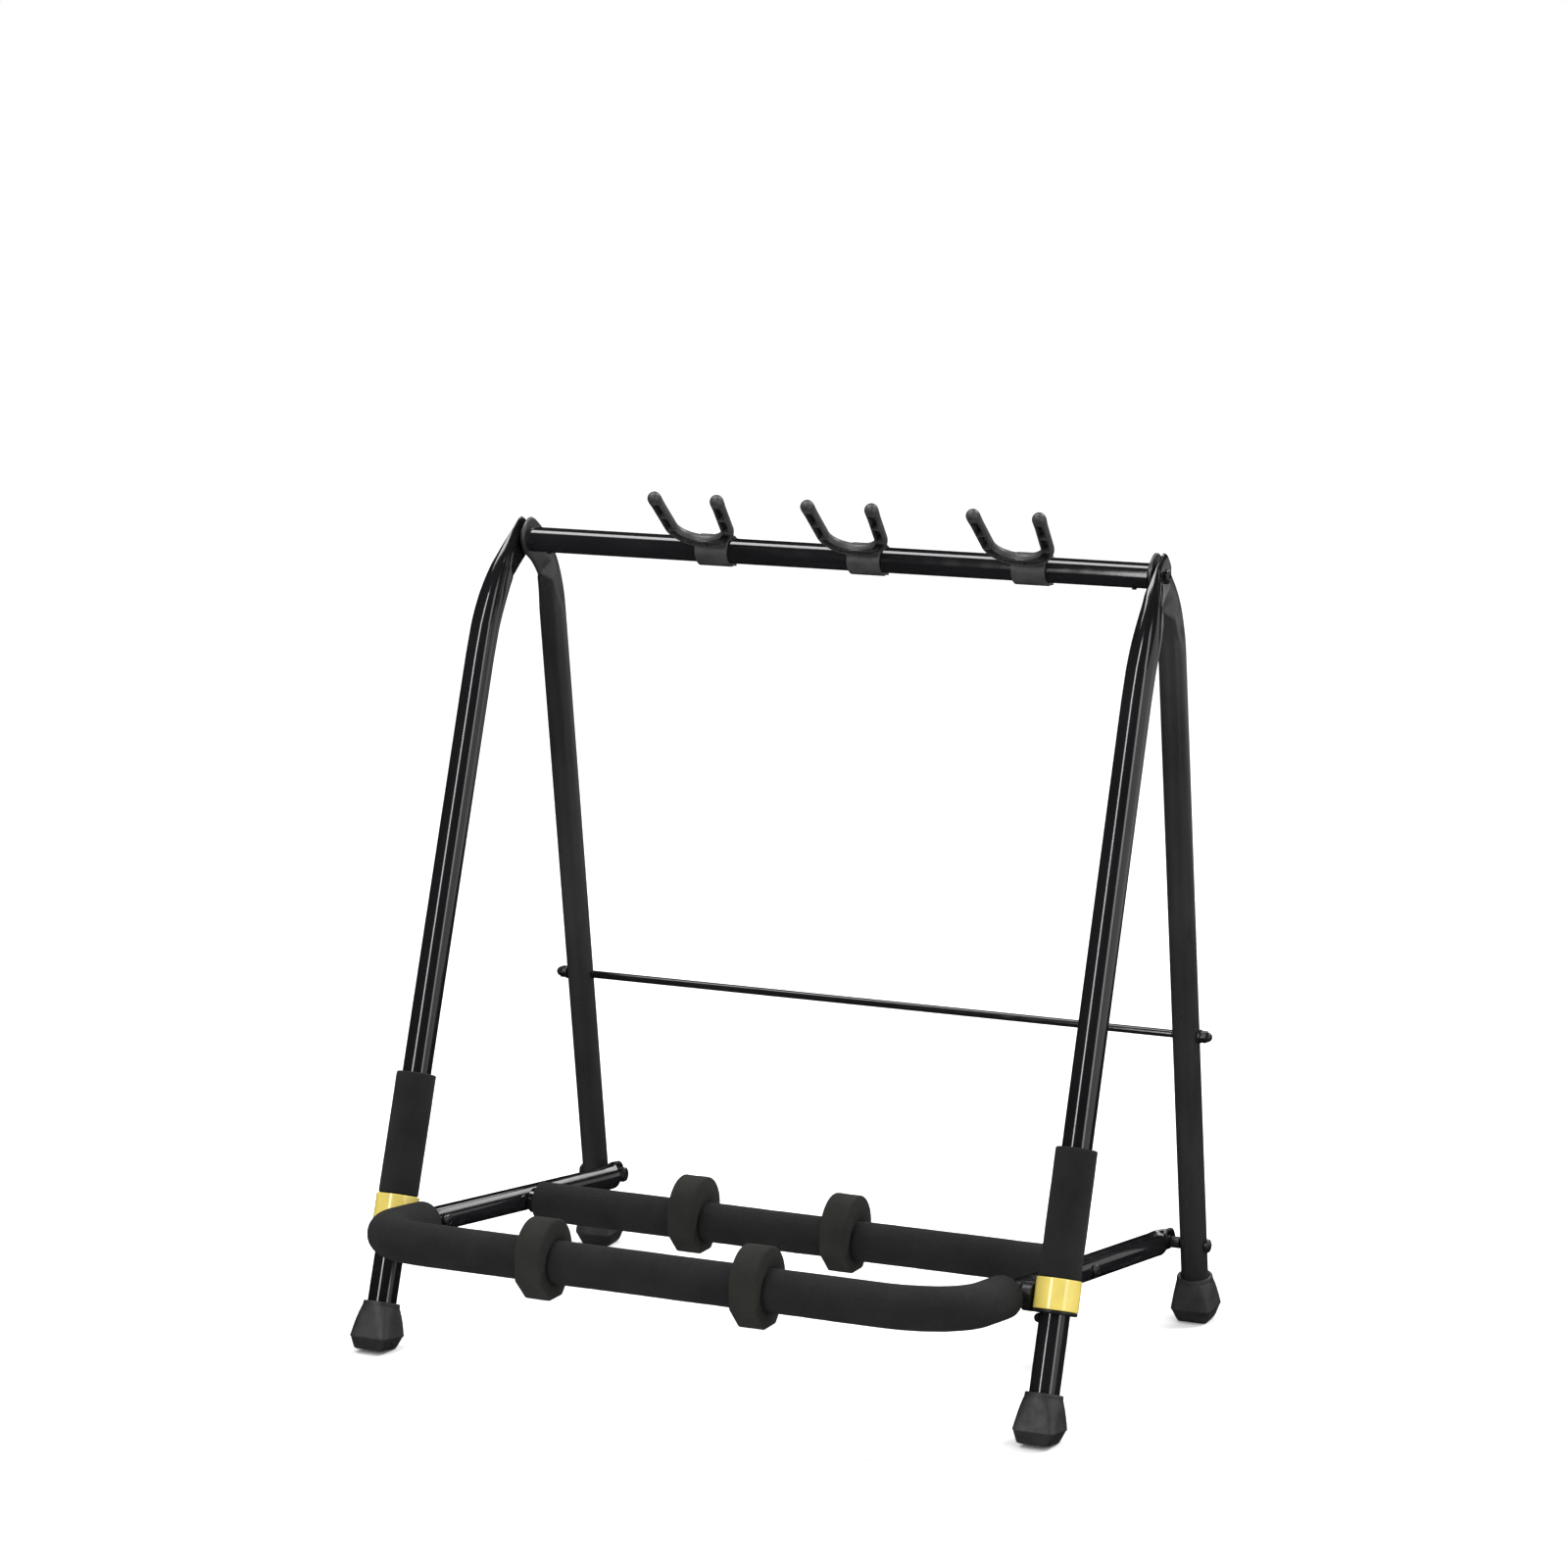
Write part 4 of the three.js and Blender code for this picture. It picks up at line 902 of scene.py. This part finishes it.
def make_cradle_tube():
    run = REAR_RUN - TAB_FLAT - TAB_TAPER
    rings = [*reversed(tab_rings(-1))]
    rings += [path_ring(station, CRADLE_TUBE_RADIUS) for station in cradle_path(run)]
    rings += tab_rings(1)
    Skin().loft(rings).piece("cradle_frame", "cradle", "gloss_black_tube", "cradle_tube", crease=50)


def foam_ring(points, centre, amount):
    """Presses dents and swells of about that many millimetres into a ring of a foam surface."""
    result = []
    for point in points:
        outward = (point - centre).normalized()
        lift = noise.noise(point * 0.035) + 0.5 * noise.noise(point * 0.11)
        result.append(point + outward * (lift * amount))
    return result


def make_sleeve(name, stations, outer, node):
    """A foam sleeve over stations: its rounded ends, its skin, and the lining back through it."""

    def end_rings(station, inward):
        point, heading = station
        return [
            path_ring((point + heading * (inward * along), heading), outer - inset)
            for along, inset in rounding(SLEEVE_EDGE)
        ]

    rings = end_rings(stations[0], 1)
    for point, heading in stations[1:-1]:
        rings.append(foam_ring(path_ring((point, heading), outer), point, SLEEVE_RELIEF))
    rings += reversed(end_rings(stations[-1], -1))
    rings += [path_ring(station, CRADLE_TUBE_RADIUS + GAP) for station in reversed(stations)]
    sleeve = Skin().loft(rings, loop=True).piece(name, "cradle", "foam", node, crease=60)


def make_cradle_foam():
    stations = cradle_path(COLLAR_RUN - FRONT_FOAM_END, arm_steps=14, bend_steps=36, bar_steps=90)
    make_sleeve("front_bar_sleeve", stations, FRONT_FOAM_RADIUS, "front_bar_foam")
    count = 110
    half = REAR_FOAM_HALF_LENGTH
    stations = [(REAR_BAR + X_AXIS * mix(-half, half, step / count), X_AXIS) for step in range(count + 1)]
    make_sleeve("rear_bar_sleeve", stations, REAR_FOAM_RADIUS, "rear_bar_foam")


REAR_BAR_END = ARM_X - CRADLE_TUBE_RADIUS - 2 * GAP


def make_rear_bar():
    bore = CRADLE_TUBE_RADIUS - BAR_WALL
    bushing("rear_tube", bore, CRADLE_TUBE_RADIUS, -REAR_BAR_END, REAR_BAR_END, REAR_BAR, X_AXIS,
            "cradle", "gloss_black_tube", "rear_bar", edge=0.35)


def make_cradle_joints(prefix, side):
    outward = X_AXIS * side
    end = REAR_BAR_END
    bushing(f"{prefix}_rear_bar_insert", INSERT_BORE, INSERT_RADIUS, end - INSERT_LENGTH, end, REAR_BAR,
            outward, "cradle", "black_plastic", f"{prefix}_rear_bar_plug")
    head = ARM_X + CRADLE_TUBE_RADIUS + GAP
    button_bolt(f"{prefix}_cross_screw", end - CROSS_SCREW_GRIP, head, 5.8, 3.4, REAR_BAR, outward,
                "cradle", f"{prefix}_rear_bar_screw", shank_radius=CROSS_SCREW_RADIUS)

    inner = REAR_LEG_X - REAR_LEG_RADIUS + GAP
    outer = REAR_LEG_X + REAR_LEG_RADIUS + GAP
    button_bolt(f"{prefix}_link_bolt", inner, outer, BOLT_HEAD_RADIUS, 4.0, REAR_PIVOT, outward,
                "rear_frame", f"{prefix}_rear_pivot_bolt")
    tab_outer = TAB_X + TAB_THICKNESS / 2 + GAP
    leg_face = REAR_LEG_X - REAR_LEG_RADIUS - GAP
    bushing(f"{prefix}_link_washer", BOLT_HOLE_RADIUS, LINK_WASHER_RADIUS, tab_outer, leg_face,
            REAR_PIVOT, outward, "cradle", "nylon", f"{prefix}_rear_pivot_washer", edge=0.4)
    face = TAB_X - TAB_THICKNESS / 2 - GAP
    skin = Skin()
    nut_start = face - LINK_NUT_LENGTH
    hex_nut(skin, REAR_PIVOT, outward, nut_start, face, LINK_NUT_ACROSS_FLATS, BOLT_RADIUS + 0.1)
    shank, thread = BOLT_RADIUS, nut_start + 0.3
    profile = [
        (0, thread), (shank - 0.5, thread), (shank, thread + 0.5), (shank, leg_face), (0, leg_face),
    ]
    revolve(skin, profile, REAR_PIVOT, outward, sides=48)
    skin.piece(f"{prefix}_link_nut", "cradle", "black_steel", f"{prefix}_rear_pivot_nut", crease=30)


# ---- sliding collars ----------------------------------------------------------------------------


def make_grip(prefix, origin, lining):
    """The foam sleeve above the ring, with small dents in its skin."""
    low, high = COLLAR_RING_TOP + GAP, GRIP_TOP
    across, along = perpendiculars(LEG_UP)
    corner = rounding(GRIP_EDGE)

    def band(position, radius, relief=0.0):
        centre = origin + LEG_UP * position
        return foam_ring(ring(centre, across, along, radius, radius, 64), centre, relief)

    rings = [band(low + distance, GRIP_RADIUS - inset) for distance, inset in corner]
    count = 26
    for step in range(1, count):
        rings.append(band(mix(low, high, step / count), GRIP_RADIUS, GRIP_RELIEF))
    rings += [band(high - distance, GRIP_RADIUS - inset) for distance, inset in reversed(corner)]
    rings += [band(high, lining), band(low, lining)]
    skin = Skin().loft(rings, loop=True)
    grip = skin.piece(f"{prefix}_grip_sleeve", "collars", "foam", f"{prefix}_foam_grip", crease=60)


def make_collar(prefix, side):
    origin = Vector((side * FRONT_LEG_X, COLLAR_PIVOT.y, COLLAR_PIVOT.z))
    outward = X_AXIS * side
    bottom = COLLAR_BOTTOM
    flange = bottom + FLANGE_THICKNESS
    profile = [
        (COLLAR_BORE, bottom), (FLANGE_RADIUS - 0.6, bottom), (FLANGE_RADIUS, bottom + 0.8),
        (FLANGE_RADIUS, flange), (SLEEVE_RADIUS, flange), (SLEEVE_RADIUS, GRIP_TOP - 1),
        (COLLAR_BORE, GRIP_TOP - 1),
    ]
    turned(f"{prefix}_collar_tube", profile, origin, LEG_UP, "collars", "black_plastic",
           f"{prefix}_collar_sleeve", edge=0.4, closed=True)
    lining = SLEEVE_RADIUS + GAP
    bushing(f"{prefix}_collar_band", lining, COLLAR_RING_RADIUS, flange + GAP, COLLAR_RING_TOP, origin,
            LEG_UP, "collars", "yellow_plastic", f"{prefix}_collar_ring", edge=0.7, sides=96)

    make_grip(prefix, origin, lining)

    pivot = Vector((0, COLLAR_PIVOT.y, COLLAR_PIVOT.z))
    start = ARM_X + CRADLE_TUBE_RADIUS + GAP
    end = FRONT_LEG_X - COLLAR_RING_RADIUS - GAP
    bushing(f"{prefix}_collar_spacer", BOLT_HOLE_RADIUS, BOSS_RADIUS, start, end, pivot, outward,
            "collars", "black_plastic", f"{prefix}_collar_boss", edge=0.6)
    tip = FRONT_LEG_X - COLLAR_BORE - 2 * GAP
    inner = ARM_X - CRADLE_TUBE_RADIUS - GAP
    button_bolt(f"{prefix}_arm_bolt", -tip, -inner, BOLT_HEAD_RADIUS, 4.0, pivot, -outward, "collars",
                f"{prefix}_collar_bolt")


# ---- dividers -----------------------------------------------------------------------------------

DIVIDER_HALF_THICKNESS = 12.0
DIVIDER_RADIUS = 29.5
DIVIDER_TOP = 36.0
DIVIDER_BOTTOM = -31.0
DIVIDER_HIP = -12.0
DIVIDER_SOLE = 11.0
DIVIDER_EDGE = 1.8
DIVIDER_BORE_CHAMFER = 0.8
DIVIDER_RELIEF = 0.25
REAR_DIVIDER_LIFT = 4.0


def divider_outline(lift):
    """Outline in [y, z] about the bar: a round top on straight sides, chamfered to a flat sole."""
    shoulder = DIVIDER_TOP - DIVIDER_RADIUS + lift
    corners = [
        (-DIVIDER_RADIUS, shoulder - 1), (-DIVIDER_RADIUS, DIVIDER_HIP + lift),
        (-DIVIDER_SOLE, DIVIDER_BOTTOM + lift), (DIVIDER_SOLE, DIVIDER_BOTTOM + lift),
        (DIVIDER_RADIUS, DIVIDER_HIP + lift), (DIVIDER_RADIUS, shoulder - 1),
    ]
    points = []
    rounded = fillet(corners, 5.0, steps=6)
    for start, end in zip(rounded, rounded[1:]):
        pieces = max(1, int((end - start).length / 2.5))
        points += [start.lerp(end, piece / pieces) for piece in range(pieces)]
    steps = 36
    for step in range(steps + 1):
        turn = math.pi * step / steps
        across, up = math.cos(turn), math.sin(turn)
        points.append(Vector((DIVIDER_RADIUS * across, shoulder + DIVIDER_RADIUS * up)))
    return points


def make_divider(row, number, bar, foam_radius, lift):
    """A foam block pushed over a padded bar."""
    node = f"{row}_divider_{number}"
    low, high = (Vector(corner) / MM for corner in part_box(node))
    centre = Vector(((low.x + high.x) / 2, bar.y, bar.z))
    profile = divider_outline(lift)
    corner = rounding(DIVIDER_EDGE)
    half = DIVIDER_HALF_THICKNESS

    def outer(x, inset):
        points = []
        for point in profile:
            pulled = point * (1 - inset / point.length)
            points.append(centre + Vector((x, pulled.x, pulled.y)))
        return points

    def bore(x, radius):
        return [centre + Vector((x, *(point.normalized() * radius))) for point in profile]

    rings = [outer(along - half, inset) for along, inset in corner]
    bands = 8
    for step in range(1, bands):
        x = mix(DIVIDER_EDGE - half, half - DIVIDER_EDGE, step / bands)
        rings.append(foam_ring(outer(x, 0), centre + X_AXIS * x, DIVIDER_RELIEF))
    rings += [outer(half - along, inset) for along, inset in reversed(corner)]
    inner = foam_radius + GAP
    chamfer = DIVIDER_BORE_CHAMFER
    rings += [bore(half, inner + chamfer), bore(half - chamfer, inner)]
    rings += [bore(chamfer - half, inner), bore(-half, inner + chamfer)]
    skin = Skin().loft(rings, loop=True)
    block = skin.piece(f"{row}_block_{number}", node, "divider_foam", node, crease=50)


# ---- yokes --------------------------------------------------------------------------------------

CLIP_INNER = BAR_RADIUS + GAP
CLIP_WALL = 2.6
CLIP_HALF_LENGTH = 15.5
CLIP_EDGE = 0.6
CLIP_LIP = 2.5
CLIP_LIP_TURN = 0.22
CLIP_MOUTH_ANGLE = math.radians(-12)
CLIP_MOUTH_HALF = math.radians(60)
FORK_BASE = Vector((0, -23.4, 10.3))
FORK_TILT = math.radians(45)
FORK_ARM_LENGTH = 56.0
FORK_BASE_HALF = 27.3
FORK_TIP_HALF = 30.0
FORK_ARM_RADIUS = 5.8
FORK_TIP_RADIUS = 6.2
BOWL_DEPTH = 20.0
POCKET_HALF_ANGLE = math.radians(52)
POCKET_RIM = 1.1
POCKET_DEPTH = 7.0
NO_POCKET = 0.02
POCKET_START = 5.0
POCKET_RIB = 1.3
RIB_SPACING = 17.0
WEB_BASE = Vector((0, -9.6, 7.6))
WEB_BASE_HALF = 14.6
WEB_TOP_HALF = 21.5
WEB_OVERLAP = 4.5


def clip_section():
    """The C of the clip in [y, z] about the bar, with a lip along each edge of its mouth."""
    outer = CLIP_INNER + CLIP_WALL
    upper = CLIP_MOUTH_ANGLE + CLIP_MOUTH_HALF
    lower = CLIP_MOUTH_ANGLE - CLIP_MOUTH_HALF + 2 * math.pi
    tip = outer + CLIP_LIP
    turn = CLIP_LIP_TURN

    def polar(radius, angle):
        return Vector((radius * math.cos(angle), radius * math.sin(angle)))

    def lip(edge, away):
        return [polar(tip - back, edge + away * part) for back, part in ((0.7, 0.8), (0, 1), (1, 1.2))]

    steps = 44
    points = [polar(outer, mix(upper, lower, step / steps)) for step in range(steps + 1)]
    points += lip(lower, turn)
    for step in range(steps + 1):
        points.append(polar(CLIP_INNER, mix(lower + turn / 2, upper - turn / 2, step / steps)))
    points += reversed(lip(upper, -turn))
    return points


def fork_line():
    """(across, distance, radius) along the fork, from its left tip through the bowl to its right."""
    half = []
    bowl_steps = 16
    for step in range(bowl_steps + 1):
        turn = math.pi / 2 * step / bowl_steps
        across, distance = FORK_BASE_HALF * math.sin(turn), BOWL_DEPTH * (1 - math.cos(turn))
        half.append((across, distance, FORK_ARM_RADIUS))
    arm_steps = 18
    for step in range(1, arm_steps + 1):
        t = step / arm_steps
        radius = mix(FORK_ARM_RADIUS, FORK_TIP_RADIUS, smoothstep((t - 0.7) / 0.3))
        half.append((mix(FORK_BASE_HALF, FORK_TIP_HALF, t), mix(BOWL_DEPTH, FORK_ARM_LENGTH, t), radius))
    return [(-across, distance, radius) for across, distance, radius in reversed(half[1:])] + half


def fork_skin(skin, base, along, normal):
    """A round bar bent into the fork, with a flat underside that holds a row of pockets."""
    line = fork_line()

    def cut(centre, sideways, radius, depth, flat=POCKET_HALF_ANGLE):
        """A section: an arc closed by a flat of that half angle, and the pocket's depth in it."""
        steps = 28
        points = []
        for step in range(steps + 1):
            angle = mix(flat - math.pi / 2, math.pi * 1.5 - flat, step / steps)
            offset = sideways * math.cos(angle) + normal * math.sin(angle)
            points.append(centre + offset * radius)
        level = -radius * math.cos(flat)
        chord = radius * math.sin(flat)
        edge = max(chord - POCKET_RIM, chord * 0.3)
        floor = level + depth
        for across, height in ((-edge, level), (-edge * 0.9, floor), (edge * 0.9, floor), (edge, level)):
            points.append(centre + sideways * across + normal * height)
        return points

    def section(index, depth):
        across, distance, radius = line[index]
        before = line[max(index - 1, 0)]
        after = line[min(index + 1, len(line) - 1)]
        heading = Vector((after[0] - before[0], after[1] - before[1])).normalized()
        sideways = along * -heading.x + X_AXIS * heading.y
        return cut(base + along * distance + X_AXIS * across, sideways, radius, depth)

    def between(index, t, depth):
        return [a.lerp(b, t) for a, b in zip(section(index, depth), section(index + 1, depth))]

    lengths = [0.0]
    for before, after in zip(line, line[1:]):
        lengths.append(lengths[-1] + math.hypot(after[0] - before[0], after[1] - before[1]))

    def pocket_depth(position):
        """Pockets are parted by ribs, and there is none near a tip."""
        from_tip = min(position, lengths[-1] - position)
        phase = (from_tip - POCKET_START) % RIB_SPACING
        on_rib = phase < POCKET_RIB and from_tip > POCKET_START + 2
        return NO_POCKET if from_tip < POCKET_START or on_rib else POCKET_DEPTH

    rings = []
    depth = None
    fine = 5
    for index in range(len(line) - 1):
        for step in range(fine):
            t = step / fine
            previous, depth = depth, pocket_depth(mix(lengths[index], lengths[index + 1], t))
            if previous is not None and depth != previous:
                rings.append(between(index, t - 0.02, previous))
            if step == 0 or depth != previous:
                rings.append(between(index, t, depth))
    rings.append(section(len(line) - 1, NO_POCKET))

    def tip_rings(station):
        """The rounded end of an arm, from its full width to a point."""
        across, distance, radius = station
        steps = 8
        points = []
        for step in range(1, steps):
            turn = math.pi / 2 * step / steps
            centre = base + along * (distance + radius * math.sin(turn)) + X_AXIS * across
            flat = mix(POCKET_HALF_ANGLE, 0.3, step / steps)
            points.append(cut(centre, X_AXIS, radius * math.cos(turn), NO_POCKET, flat))
        points.append([base + along * (distance + radius) + X_AXIS * across])
        return points

    skin.loft([*reversed(tip_rings(line[0])), *rings, *tip_rings(line[-1])])


def make_yoke(number):
    """A clip round the bar, a fork for a guitar's neck, and the web between them."""
    node = f"yoke_{number}"
    low, high = (Vector(corner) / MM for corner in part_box(node))
    middle = Vector(((low.x + high.x) / 2, PIVOT.y, PIVOT.z))
    along = Vector((0, -math.sin(FORK_TILT), math.cos(FORK_TILT)))
    normal = X_AXIS.cross(along) * -1
    base = middle + FORK_BASE
    skin = Skin()
    fork_skin(skin, base, along, normal)

    mean = CLIP_INNER + CLIP_WALL / 2
    end, edge = CLIP_HALF_LENGTH, CLIP_EDGE
    rings = []
    for x, inset in ((-end, edge), (edge - end, 0.0), (end - edge, 0.0), (end, edge)):
        points = []
        for point in clip_section():
            pulled = point + (point.normalized() * mean - point).normalized() * inset
            points.append(middle + Vector((x, pulled.x, pulled.y)))
        rings.append(points)
    skin.loft(rings)

    web_start = middle + WEB_BASE
    web_end = base + along * WEB_OVERLAP
    rings = []
    for t in (0.0, 0.35, 0.7, 1.0):
        width = mix(WEB_BASE_HALF, WEB_TOP_HALF, smoothstep(t))
        rings.append(ring(web_start.lerp(web_end, t), X_AXIS, normal, width, mix(4.6, 4.2, t), 40, 5.0))
    skin.loft(rings)
    skin.piece(f"neck_yoke_{number}", node, "yoke_plastic", node, crease=40)


# ---- assembly -----------------------------------------------------------------------------------

make_top_bar()
make_tie_rod()
make_cradle_tube()
make_cradle_foam()
make_rear_bar()
for prefix, side in SIDES:
    make_side_frames(prefix, side)
    make_top_pivot(prefix, side)
    make_tie_rod_end(prefix, side)
    make_cradle_joints(prefix, side)
    make_collar(prefix, side)
for number in (1, 2):
    make_divider("front", number, FRONT_BAR, FRONT_FOAM_RADIUS, 0.0)
    make_divider("rear", number, REAR_BAR, REAR_FOAM_RADIUS, REAR_DIVIDER_LIFT)
for number in (1, 2, 3):
    make_yoke(number)


# ---- camera, floor and light --------------------------------------------------------------------

CAMERA_AZIMUTH = 24.95
CAMERA_ELEVATION = 9.515
CAMERA_ROLL = 0.294
CAMERA_TARGET = Vector((0, 111.05, 350))
CAMERA_SHIFT_LEFT = 39.26
CAMERA_SHIFT_UP = 130.91
CAMERA_DISTANCE = 4123.3
CAMERA_LENS = 107.63
LIGHT_TARGET = Vector((0, 0, 0.36))


def outward_direction(azimuth, elevation):
    """Unit vector from the rack: azimuth 0 is its front, and 90 degrees its right side."""
    azimuth, elevation = math.radians(azimuth), math.radians(elevation)
    return Vector((
        math.sin(azimuth) * math.cos(elevation),
        -math.cos(azimuth) * math.cos(elevation),
        math.sin(elevation),
    ))


def make_camera():
    azimuth, roll = math.radians(CAMERA_AZIMUTH), math.radians(CAMERA_ROLL)
    back = outward_direction(CAMERA_AZIMUTH, CAMERA_ELEVATION)
    level = Vector((math.cos(azimuth), math.sin(azimuth), 0))
    upright = back.cross(level)
    right = level * math.cos(roll) + upright * math.sin(roll)
    up = upright * math.cos(roll) - level * math.sin(roll)
    target = CAMERA_TARGET - right * CAMERA_SHIFT_LEFT + up * CAMERA_SHIFT_UP
    data = bpy.data.cameras.new("camera")
    data.sensor_width = 36.0
    data.lens = CAMERA_LENS
    data.clip_end = 100.0
    camera = bpy.data.objects.new("camera", data)
    bpy.context.scene.collection.objects.link(camera)
    rotation = Matrix((right, up, back)).transposed().to_4x4()
    camera.matrix_world = Matrix.Translation((target + back * CAMERA_DISTANCE) * MM) @ rotation
    bpy.context.scene.camera = camera


def make_floor():
    size = 30.0
    mesh = bpy.data.meshes.new("floor")
    corners = [(-size, -size, 0), (size, -size, 0), (size, size, 0), (-size, size, 0)]
    mesh.from_pydata(corners, [], [(0, 1, 2, 3)])
    floor = bpy.data.objects.new("floor", mesh)
    bpy.context.scene.collection.objects.link(floor)
    material = Material("floor_white", (0.72, 0.72, 0.72), 0.8)
    material.vary_color(material.noise(0.8), 0.99, 1.01)
    mesh.materials.append(material.data)
    floor.visible_glossy = False


def make_softbox(name, azimuth, elevation, distance, width, height, power):
    """A rectangular light aimed at the middle of the rack, in metres and watts."""
    direction = outward_direction(azimuth, elevation)
    data = bpy.data.lights.new(name, "AREA")
    data.shape = "RECTANGLE"
    data.size = width
    data.size_y = height
    data.energy = power
    light = bpy.data.objects.new(name, data)
    rotation = direction.to_track_quat("Z", "Y").to_matrix().to_4x4()
    light.matrix_world = Matrix.Translation(LIGHT_TARGET + direction * distance) @ rotation
    light.visible_camera = False
    bpy.context.scene.collection.objects.link(light)


def make_light():
    world = bpy.data.worlds.new("studio")
    world.use_nodes = True
    background = world.node_tree.nodes["Background"]
    background.inputs["Color"].default_value = (1.0, 1.0, 1.0, 1.0)
    background.inputs["Strength"].default_value = 1.0
    bpy.context.scene.world = world
    world.cycles_visibility.glossy = False
    key = bpy.data.lights.new("key", "SUN")
    key.energy = 2.6
    key.angle = math.radians(16)
    light = bpy.data.objects.new("key", key)
    aim = outward_direction(140, 50)
    light.matrix_world = aim.to_track_quat("Z", "Y").to_matrix().to_4x4()
    bpy.context.scene.collection.objects.link(light)
    make_softbox("left_strip", -14, 24, 4.0, 0.55, 4.6, 115)
    make_softbox("right_strip", 64, 20, 2.6, 0.5, 3.0, 19)
    make_softbox("upper_box", -87, 68, 2.41, 0.9, 1.7, 52)
    make_softbox("right_box", 100, 10, 3.2, 4.5, 2.0, 30)
    make_softbox("back_box", 174, 22, 3.0, 2.6, 0.8, 20)
    make_softbox("low_box", 150, -2, 2.6, 2.4, 0.6, 2.4)


make_camera()
make_floor()
make_light()
bpy.context.scene.view_settings.view_transform = "Standard"
